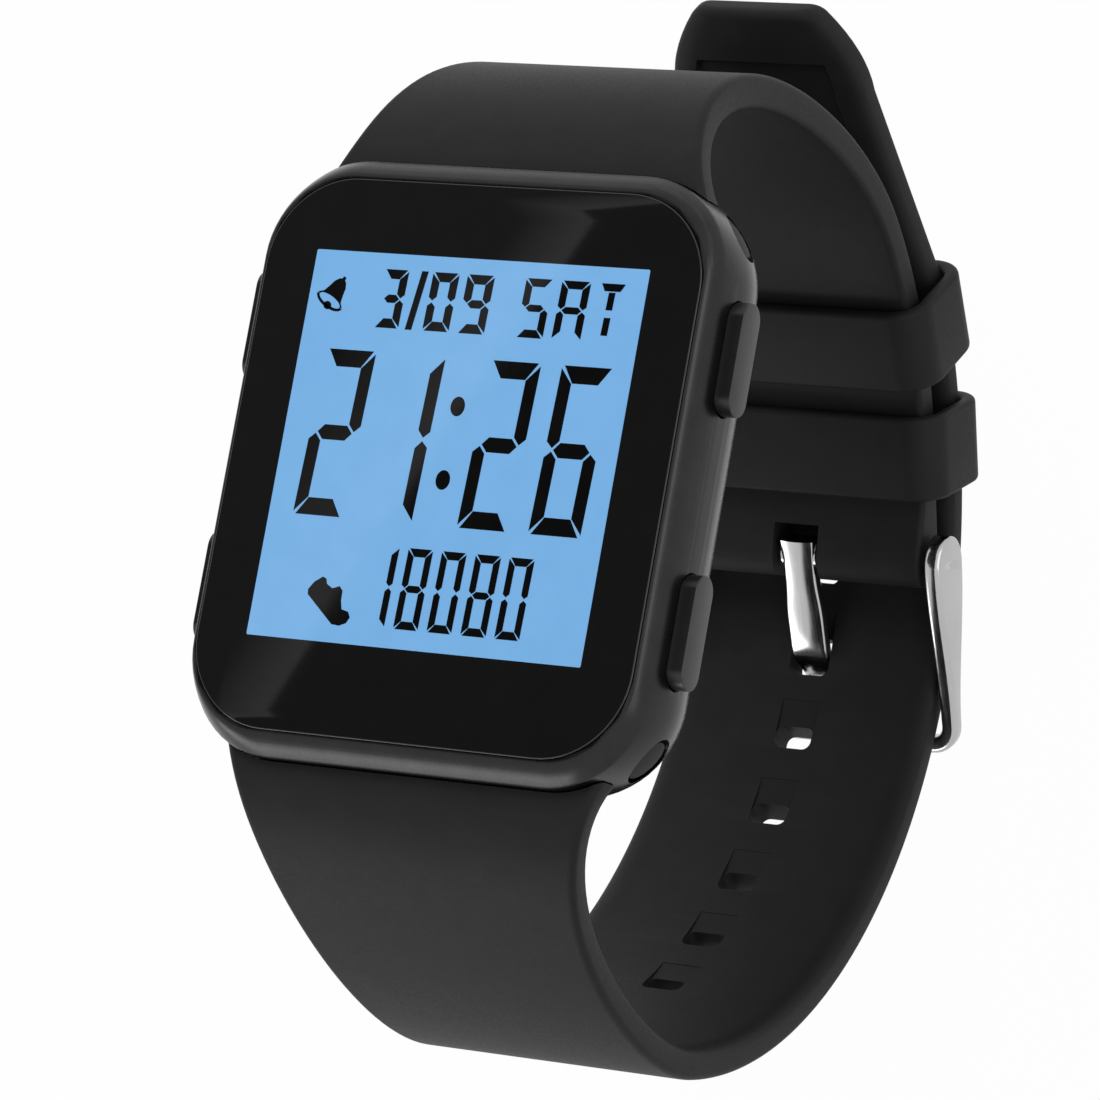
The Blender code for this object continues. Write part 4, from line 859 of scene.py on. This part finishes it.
def lug_steps(side):
    """Steps that trim a strap half to the case and join the lug that fills the case's slot."""
    place = (0, side * LUG_Y, LUG_LIFT - LUG_DROP)
    lug = carved(rod(LUG_DIAMETER, -CASE_WIDTH / 2, CASE_WIDTH / 2, place),
                 ('INTERSECT', case_shape(RIM_DROP, BACK_DROP, -CLEARANCE)))
    neck = box(NECK_SIZE, (0, side * NECK_SIZE[1] / 2, 0), (0, side * LUG_Y, -NECK_DROP))
    return [('DIFFERENCE', case_shape(RIM_DROP, BACK_DROP, ROOT_GAP)), ('UNION', lug), ('UNION', neck)]


def build_strap_upper():
    """The half that carries the buckle: thick round the bar, with a notch for the tongue."""
    heading = -along_arc(INNER_START_ANGLE)
    start = polar(OVERLAP_CENTRE, INNER_RADIUS, INNER_START_ANGLE)
    track = root_curve(1, UPPER_ROOT_TILT, UPPER_PULLS, start, heading)
    track += arc_track(OVERLAP_CENTRE, INNER_RADIUS, INNER_START_ANGLE, BAR_ANGLE)
    nose_turn = math.degrees(END_NOSE / INNER_RADIUS)
    for step in range(1, NOSE_STEPS + 1):
        angle = BAR_ANGLE - nose_turn * math.sin(math.radians(90 * step / NOSE_STEPS))
        track.append((polar(OVERLAP_CENTRE, INNER_RADIUS, angle), outward(angle)))
    lengths = track_lengths(track)
    bar_length = lengths[-1 - NOSE_STEPS]
    widths, thicknesses = root_widths(lengths)
    for index, length in enumerate(lengths):
        widths[index] += (BUCKLE_END_WIDTH - STRAP_WIDTH) * length / lengths[-1]
        swell = smoothstep(1 - (bar_length - length) / END_REACH)
        thicknesses[index] += (END_THICKNESS - STRAP_THICKNESS) * swell
        past = max(length - bar_length, 0) / END_NOSE
        thicknesses[index] *= math.sqrt(1 - NOSE_ROUNDING * past * past)
    notch_length = NOTCH_DEPTH + 2 * END_NOSE
    notch = box((NOTCH_WIDTH, notch_length, 2 * END_THICKNESS), (0, notch_length / 2 - NOTCH_DEPTH, 0),
                BAR_CENTRE, radial_turn(BAR_ANGLE))
    bore = rod(BAR_BORE, -STRAP_WIDTH, STRAP_WIDTH, BAR_CENTRE)
    steps = [('DIFFERENCE', notch), ('DIFFERENCE', bore)] + lug_steps(1)
    strap = carved(ribbon(track, widths, thicknesses, [0] * len(track), UPPER_INNER_EDGE), *steps)
    piece("strap_upper_skin", strap, "silicone", "watch", "strap_upper")


def hole_angle(index):
    """Angle of a strap hole, counted from the one under the buckle."""
    return HOLE_ANGLE - math.degrees((index - HOLE_USED) * HOLE_PITCH / LOOP_RADIUS)


def hole_steps():
    """Steps that cut the strap's holes, each with a ramp sunk in the inner side towards the buckle."""
    steps = []
    for index in range(HOLE_COUNT):
        angle = hole_angle(index)
        move = Matrix.Translation(polar(LOOP_CENTRE, LOOP_RADIUS, angle))
        move = move @ Matrix.Rotation(radial_turn(angle), 4, 'X')
        size = WORN_HOLE if index == HOLE_USED else HOLE
        hole = stack(size, [(-STRAP_THICKNESS, 0), (STRAP_THICKNESS, 0)])
        half = size[0] / 2
        depth = WORN_RELIEF if index == HOLE_USED else RELIEF_DEPTH
        rings = []
        for step in range(RELIEF_STEPS + 1):
            share = step / RELIEF_STEPS
            y = -share * (size[1] / 2 + RELIEF_LENGTH)
            face = -STRAP_THICKNESS / 2 - SKIN_DROP - y * y / (2 * LOOP_INSIDE)
            floor = face + RELIEF_END + (depth - RELIEF_END) * (1 - share)
            rings.append([(-half, y, face - CUT_MARGIN), (half, y, face - CUT_MARGIN), (half, y, floor),
                          (-half, y, floor)])
        ramp = loft(rings)
        for tool in (hole, ramp):
            tool.transform(move)
            steps.append(('DIFFERENCE', tool))
    return steps


def build_strap_lower():
    """The half with the holes, which runs outside the other half and ends in a straight tail."""
    heading = along_arc(LOOP_START_ANGLE)
    start = polar(LOOP_CENTRE, LOOP_RADIUS, LOOP_START_ANGLE)
    track = root_curve(-1, LOWER_ROOT_TILT, LOWER_PULLS, start, heading)
    track += arc_track(LOOP_CENTRE, LOOP_RADIUS, LOOP_START_ANGLE, OVERLAP_ANGLE)[:-1]
    track += arc_track(OVERLAP_CENTRE, OVERLAP_RADIUS, OVERLAP_ANGLE, TAIL_ANGLE)
    leave, normal = track[-1]
    leave_index = len(track) - 1
    onward = Vector((0, -normal.z, normal.y))
    panel_end = TAIL_LENGTH - PANEL_END
    count = math.ceil(TAIL_LENGTH / STRAP_STEP)
    runs = [TAIL_LENGTH * step / count for step in range(1, count)]
    runs += [TAIL_LENGTH - TIP_ROUNDING * (1 - math.sin(math.radians(90 * step / TIP_STEPS)))
             for step in range(TIP_STEPS + 1)]
    runs += [panel_end, panel_end + PANEL_STEP]
    runs = sorted(set(runs))
    track += [(leave + run * onward, normal) for run in runs]
    lengths = track_lengths(track)
    widths, thicknesses = root_widths(lengths)
    depths = []
    tip_start = TAIL_LENGTH - TIP_LENGTH
    for index, length in enumerate(lengths):
        run = length - lengths[leave_index]
        depths.append(PANEL_DEPTH * smoothstep((run + PANEL_FADE) / PANEL_FADE) * (run < panel_end + SMALL))
        if run <= 0:
            widths[index] += (TAIL_WIDTH - STRAP_WIDTH) * length / lengths[leave_index]
            continue
        share = max(run - tip_start, 0) / TIP_LENGTH
        widths[index] = TAIL_WIDTH + (TAIL_END_WIDTH - TAIL_WIDTH) * min(run / tip_start, 1)
        widths[index] += (TIP_WIDTH - TAIL_END_WIDTH) * share * share
        thicknesses[index] -= TIP_THINNING * share * share
        past = min(max(run - TAIL_LENGTH + TIP_ROUNDING, 0) / TIP_ROUNDING, 1)
        bow = 1 - math.sqrt(1 - past * past)
        thicknesses[index] -= TIP_DRAW * bow * TIP_ROUNDING
        widths[index] -= TIP_DRAW * bow * TIP_ROUNDING
    strap = ribbon(track, widths, thicknesses, depths, LOWER_INNER_EDGE)
    strap = carved(strap, *lug_steps(-1), *hole_steps())
    piece("strap_lower_skin", strap, "silicone", "watch", "strap_lower")


# Keepers

def keeper(angle):
    """A moulded loop round both layers of strap."""
    sagitta = KEEPER_WIDTH ** 2 / (8 * INNER_RADIUS)
    low = INNER_RADIUS - STRAP_THICKNESS / 2 - sagitta - KEEPER_GAP
    high = OVERLAP_RADIUS + STRAP_THICKNESS / 2 + KEEPER_GAP
    centre = OVERLAP_CENTRE + (low + high) / 2 * outward(angle)
    half = KEEPER_WALL / 2
    inner = rounded_outline(KEEPER_INNER_WIDTH, high - low, KEEPER_BEND - half)
    outer = rounded_outline(KEEPER_INNER_WIDTH + 4 * half, high - low + 4 * half, KEEPER_BEND + half)
    section = rounded_outline(2 * half, KEEPER_WIDTH, KEEPER_EDGE, KEEPER_EDGE_STEPS)
    rings = []
    for (low_x, low_n), (high_x, high_n) in zip(inner, outer):
        ring = []
        for deep, along in section:
            share = deep / (2 * half) + 0.5
            across = low_x + (high_x - low_x) * share
            rise = low_n + (high_n - low_n) * share
            ring.append(centre + Vector((across, 0, 0)) + rise * outward(angle) + along * along_arc(angle))
        rings.append(ring)
    return loft(rings, True)


def build_keepers():
    """The keeper next to the buckle and the one that slides on the tail."""
    piece("keeper_fixed_skin", keeper(FIXED_KEEPER_ANGLE), "silicone", "watch", "fixed_keeper")
    piece("keeper_free_skin", keeper(FREE_KEEPER_ANGLE), "silicone", "keeper", "free_keeper")


# Buckle

def tongue_stops():
    """Points that the tongue passes, from the bar to its tip, and the tip's outward normal."""
    hole = hole_angle(HOLE_USED)
    half_hole = math.degrees(TONGUE_HOLE / 2 / LOOP_RADIUS)
    faces = ((LOOP_INSIDE, TONGUE_THICKNESS), (LOOP_INSIDE, STRAP_THICKNESS),
             (LOOP_OUTSIDE, STRAP_THICKNESS), (LOOP_OUTSIDE, TONGUE_THICKNESS))
    points = []
    for turn, rise, (face, thickness) in zip(TONGUE_TURNS, TONGUE_RISES, faces):
        points.append(polar(LOOP_CENTRE, face + rise * thickness, hole + turn * half_hole))
    offset = TONGUE_HUB / 2 - TONGUE_THICKNESS / 2 - TONGUE_CROWN
    reach = points[0] - BAR_CENTRE
    ahead = reach.normalized()
    inward = Vector((0, ahead.z, -ahead.y))
    sine = offset / reach.length
    cosine = math.sqrt(1 - sine * sine)
    slope = cosine * ahead - sine * inward
    touch = BAR_CENTRE + offset * (sine * ahead + cosine * inward)
    strip = [touch - TONGUE_HEEL * slope, touch, touch + TONGUE_STRAIGHT * reach.length * cosine * slope]
    points = strip + points
    lift = FAR_BAR_DIAMETER / 2 - TIP_NOTCH_DEPTH + TIP_GAP + TONGUE_TIP_THICKNESS / 2
    chord = (FAR_BAR_CENTRE + lift * outward(FAR_BAR_ANGLE) - points[-1]).normalized()
    normal = Vector((0, -chord.z, chord.y))
    normal *= math.copysign(1, -normal.z)
    points.append(FAR_BAR_CENTRE + lift * normal + TIP_OVERHANG * chord)
    return points, normal


def frame_route(reach):
    """Half of the frame's U, from an ear to the middle of the far bar, as x, run, heading and height."""
    route = []
    for step in range(EAR_STEPS):
        angle = math.radians(EAR_START + (90 - EAR_START) * step / EAR_STEPS)
        route.append((ARM_X, -EAR_RADIUS * math.cos(angle), 90, EAR_RADIUS * math.sin(angle)))
    arm_end = reach - FRAME_CORNER
    for step in range(ARM_STEPS + 1):
        share = step / ARM_STEPS
        height = EAR_RADIUS + (FAR_BAR_HEIGHT - EAR_RADIUS) * smoothstep(share)
        route.append((ARM_X, arm_end * share, 90, height))
    for step in range(1, FRAME_STEPS + 1):
        angle = math.radians(90 * step / FRAME_STEPS)
        across = ARM_X - FRAME_CORNER * (1 - math.cos(angle))
        route.append((across, arm_end + FRAME_CORNER * math.sin(angle), 90 + math.degrees(angle),
                      FAR_BAR_HEIGHT))
    return route


def build_buckle_frame():
    """A U of steel on the bar: two tapered arms and the far bar, notched for the tongue's tip."""
    run = FAR_BAR_CENTRE - BAR_CENTRE
    reach = run.length
    run.normalize()
    rise = Vector((0, -run.z, run.y))
    half = frame_route(reach)
    mirrored = [(-across, along, -heading, height) for across, along, heading, height in reversed(half)]
    rings = []
    for across, along, heading, height in half + mirrored:
        angle = math.radians(heading)
        side = Vector((math.sin(angle), 0, 0)) - math.cos(angle) * run
        middle = BAR_CENTRE + Vector((across, 0, 0)) + along * run
        edge = min(ARM_EDGE, ARM_EDGE_LIMIT * height)
        outline = rounded_outline(ARM_THICKNESS, 2 * height, edge, ARM_EDGE_STEPS)
        rings.append([middle + a * side + b * rise for a, b in outline])
    steps = [('DIFFERENCE', rod(BAR_BORE, -BAR_END, BAR_END, BAR_CENTRE))]
    face = ARM_X + ARM_THICKNESS / 2
    for side in (1, -1):
        dimple = rod(DIMPLE_POINT, side * (face - DIMPLE_DEPTH), side * (face + DIMPLE_DEPTH), BAR_CENTRE,
                     2 * DIMPLE_DIAMETER)
        steps.append(('DIFFERENCE', dimple))
    _, normal = tongue_stops()
    turn = math.pi + math.atan2(normal.y, -normal.z)
    steps.append(('DIFFERENCE', box((NOTCH_WIDTH, 4 * FAR_BAR_DIAMETER, 2 * TIP_NOTCH_DEPTH),
                                    (0, 0, FAR_BAR_DIAMETER / 2), FAR_BAR_CENTRE, turn)))
    piece("buckle_frame_steel", carved(loft(rings), *steps), "polished_steel", "frame", "buckle_frame")


def smooth_route(points, steps):
    """Points on a smooth curve through a route."""
    ends = [2 * points[0] - points[1], *points, 2 * points[-1] - points[-2]]
    route = []
    for before, here, after, later in zip(ends, ends[1:], ends[2:], ends[3:]):
        for step in range(steps):
            route.append(blend(here, (after - before) / 2, after, (later - here) / 2, step / steps)[0])
    return route + [points[-1]]


def tongue_section(width, thickness, rise):
    """The tongue's outline: flat outside and crowned on the wrist side."""
    outline = rounded_outline(width, thickness, TONGUE_EDGE, TONGUE_EDGE_STEPS)
    reach = width / 2 - TONGUE_EDGE
    crown = []
    for step in range(1, CROWN_STEPS):
        share = 2 * step / CROWN_STEPS - 1
        crown.append((reach * share, -thickness / 2 - rise * (1 - share * share)))
    last_corner = 3 * (TONGUE_EDGE_STEPS + 1)
    return outline[:last_corner] + crown + outline[last_corner:]


def build_buckle_tongue():
    """The tongue: an eye on the bar, a strip on the wrist side and a tip through the strap's hole."""
    stops, _ = tongue_stops()
    route = smooth_route(stops, TONGUE_STEPS)
    rings = []
    for index, point in enumerate(route):
        ahead = route[min(index + 1, len(route) - 1)] - route[max(index - 1, 0)]
        normal = Vector((0, -ahead.z, ahead.y)).normalized()
        share = index / (len(route) - 1)
        taper = smoothstep(TONGUE_TAPER * share - (TONGUE_TAPER - 1))
        thickness = TONGUE_THICKNESS + (TONGUE_TIP_THICKNESS - TONGUE_THICKNESS) * taper
        outline = tongue_section(profile(TONGUE_WIDTHS, share), thickness, profile(TONGUE_CROWNS, share))
        rings.append([Vector((x, 0, 0)) + point + n * normal for x, n in outline])
    half = TONGUE_WIDTHS[0][1] / 2
    steps = [('UNION', rod(HUB_DIAMETER, -half, half, BAR_CENTRE)),
             ('DIFFERENCE', rod(BAR_BORE, -2 * half, 2 * half, BAR_CENTRE))]
    piece("buckle_tongue_steel", carved(loft(rings), *steps), "polished_steel", "tongue", "buckle_tongue")


# Stage

FOCAL_LENGTH = 190.54
SENSOR_WIDTH = 36.0
CAMERA_PLACE = Vector((194.91, -65.12, 332.66))
CAMERA_RIGHT = Vector((0.87285, 0.17315, -0.45624))
CAMERA_UP = Vector((-0.07859, 0.97261, 0.21877))
CAMERA_BACK = Vector((0.48162, -0.15510, 0.86255))
SKY_LEVEL = 0.4
FLOOR_GLOW = 0.98
FLOOR_COLOUR = (0.6, 0.6, 0.6, 1)
FLOOR_SIZE = 3.0
LAMPS = (
    ("lamp_over", (-0.35, 0.7, 1.0), (0.9, 0.9), 10.2),
    ("lamp_side", (0.9, -0.5, 0.7), (0.6, 0.6), 1.6),
)
CARDS = (
    ("right_card", (300, 40, 60), (300, 240), 2.1),
    ("front_card", (-144, -258, -8), (340, 80), 4.4),
)
GLOSS_EDGE = ((8.54, 19.08), (-11.78, -18.81))
GLOSS_DISTANCE = 300.0
GLOSS_SIZE = 260.0
GLOSS_BRIGHT = 0.5
GLOSS_DIM = 0.03
GLOSS_FADE = 16.0
GLOSS_START = 0.498
GLOSS_MIDDLE = 0.5
GLOSS_LAST = 0.99


def seen_rays(nodes, links):
    """1 for rays from the camera and for mirrored or refracted ones, and 0 for the light itself."""
    path = nodes.new("ShaderNodeLightPath")
    result = path.outputs["Is Camera Ray"]
    for name in ("Is Glossy Ray", "Is Transmission Ray"):
        larger = nodes.new("ShaderNodeMath")
        larger.operation = 'MAXIMUM'
        links.new(result, larger.inputs[0])
        links.new(path.outputs[name], larger.inputs[1])
        result = larger.outputs[0]
    return result


def build_camera():
    """The camera at the photograph's viewing angle."""
    data = bpy.data.cameras.new("camera")
    data.lens = FOCAL_LENGTH
    data.sensor_width = SENSOR_WIDTH
    camera = add("camera", data)
    turn = Matrix((CAMERA_RIGHT, CAMERA_UP, CAMERA_BACK)).transposed().to_4x4()
    camera.matrix_world = Matrix.Translation(TO_WORLD @ CAMERA_PLACE) @ turn
    bpy.context.scene.camera = camera


def build_world():
    """A white background that lights the object softly."""
    world = bpy.data.worlds.new("studio")
    bpy.context.scene.world = world
    world.use_nodes = True
    nodes = world.node_tree.nodes
    links = world.node_tree.links
    light = nodes["Background"]
    put(light, "Color", (1, 1, 1, 1))
    put(light, "Strength", SKY_LEVEL)
    white = nodes.new("ShaderNodeBackground")
    put(white, "Color", (1, 1, 1, 1))
    put(white, "Strength", 1.0)
    mix = nodes.new("ShaderNodeMixShader")
    links.new(seen_rays(nodes, links), mix.inputs[0])
    links.new(light.outputs[0], mix.inputs[1])
    links.new(white.outputs[0], mix.inputs[2])
    links.new(mix.outputs[0], nodes["World Output"].inputs["Surface"])


def build_lamps():
    """Large soft lamps, which mirrors do not see."""
    for name, place, size, power in LAMPS:
        data = bpy.data.lights.new(name, 'AREA')
        data.shape = 'RECTANGLE'
        data.size, data.size_y = size
        data.energy = power
        lamp = add(name, data)
        lamp.visible_glossy = False
        lamp.location = place
        lamp.rotation_euler = (DIAL - Vector(place)).to_track_quat('-Z', 'Y').to_euler()


def plane(name, size, material):
    """A flat stage piece."""
    bm = bmesh.new()
    bmesh.ops.create_grid(bm, x_segments=1, y_segments=1, size=size / 2)
    mesh = bpy.data.meshes.new(name)
    bm.to_mesh(mesh)
    bm.free()
    mesh.materials.append(material)
    item = add(name, mesh)
    return item


def bare_material(name):
    """A material with no shader yet, and its nodes and links."""
    material = bpy.data.materials.new(name)
    material.use_nodes = True
    nodes = material.node_tree.nodes
    nodes.remove(nodes["Principled BSDF"])
    return material, nodes, material.node_tree.links


def build_floor():
    """A pale floor that looks nearly white and keeps the object's shadow."""
    material, nodes, links = bare_material("floor_white")
    paint = nodes.new("ShaderNodeBsdfDiffuse")
    put(paint, "Color", FLOOR_COLOUR)
    glow = nodes.new("ShaderNodeEmission")
    put(glow, "Strength", 1.0)
    share = nodes.new("ShaderNodeMath")
    share.operation = 'MULTIPLY'
    share.inputs[1].default_value = FLOOR_GLOW
    links.new(seen_rays(nodes, links), share.inputs[0])
    mix = nodes.new("ShaderNodeMixShader")
    links.new(share.outputs[0], mix.inputs[0])
    links.new(paint.outputs[0], mix.inputs[1])
    links.new(glow.outputs[0], mix.inputs[2])
    links.new(mix.outputs[0], nodes["Material Output"].inputs["Surface"])
    plane("floor", FLOOR_SIZE, material)


def gloss_material():
    """A dark card with a soft light strip: bright at its straight edge and fading away from it."""
    material, nodes, links = bare_material("gloss_card")
    split = nodes.new("ShaderNodeSeparateXYZ")
    links.new(nodes.new("ShaderNodeTexCoord").outputs["Object"], split.inputs[0])
    ramp = nodes.new("ShaderNodeValToRGB")
    edge, fade = ramp.color_ramp.elements
    edge.position = GLOSS_START
    edge.color = (0, 0, 0, 1)
    fade.position = GLOSS_MIDDLE
    fade.color = (*grey(GLOSS_BRIGHT), 1)
    dim = ramp.color_ramp.elements.new(min(GLOSS_MIDDLE + GLOSS_FADE / GLOSS_SIZE, GLOSS_LAST))
    dim.color = (*grey(GLOSS_DIM), 1)
    spread = nodes.new("ShaderNodeMapRange")
    put(spread, "From Min", -GLOSS_SIZE / 2 * MM)
    put(spread, "From Max", GLOSS_SIZE / 2 * MM)
    links.new(split.outputs["X"], spread.inputs["Value"])
    links.new(spread.outputs["Result"], ramp.inputs["Fac"])
    glow = nodes.new("ShaderNodeEmission")
    links.new(ramp.outputs["Color"], glow.inputs["Color"])
    links.new(glow.outputs[0], nodes["Material Output"].inputs["Surface"])
    return material


def mirror_only(card):
    """Keep a card out of the picture and the light, and in mirrors."""
    card.visible_camera = False
    card.visible_diffuse = False
    card.visible_transmission = False
    card.visible_shadow = False


def build_cards():
    """Bright cards that only mirrors see, for the highlights along the case's rim."""
    for name, place, size, level in CARDS:
        material, nodes, links = bare_material(name)
        glow = nodes.new("ShaderNodeEmission")
        put(glow, "Strength", level)
        links.new(glow.outputs[0], nodes["Material Output"].inputs["Surface"])
        card = plane(name, 1.0, material)
        turn = Vector(place).to_track_quat('Z', 'Y').to_matrix().to_4x4()
        card.matrix_world = (Matrix.Translation(TO_WORLD @ Vector(place)) @ turn
                             @ Matrix.Diagonal((size[0] * MM, size[1] * MM, 1, 1)))
        mirror_only(card)


def build_gloss_card():
    """The card that the lens mirrors, so that the glass stays black with one soft band across it."""
    card = plane("gloss_card", GLOSS_SIZE * MM, gloss_material())
    below = Vector((CAMERA_PLACE.x, CAMERA_PLACE.y, -CAMERA_PLACE.z))
    toward = Vector((-CAMERA_BACK.x, -CAMERA_BACK.y, CAMERA_BACK.z))
    hits = []
    for x, y in GLOSS_EDGE:
        ray = Vector((x, y, 0)) - below
        hits.append(below + ray * ((GLOSS_DISTANCE - below.dot(toward)) / ray.dot(toward)))
    along = (hits[1] - hits[0]).normalized()
    across = along.cross(toward)
    middle = TO_WORLD @ ((hits[0] + hits[1]) / 2)
    card.matrix_world = Matrix.Translation(middle) @ Matrix((across, along, toward)).transposed().to_4x4()
    mirror_only(card)


def main():
    """Dress the watch and set the stage."""
    dress_frame()
    build_case()
    build_back()
    build_lens()
    build_buttons()
    build_strap_upper()
    build_strap_lower()
    build_keepers()
    build_buckle_frame()
    build_buckle_tongue()
    build_camera()
    build_world()
    build_lamps()
    build_floor()
    build_cards()
    build_gloss_card()
    bpy.context.scene.view_settings.view_transform = 'Standard'


main()
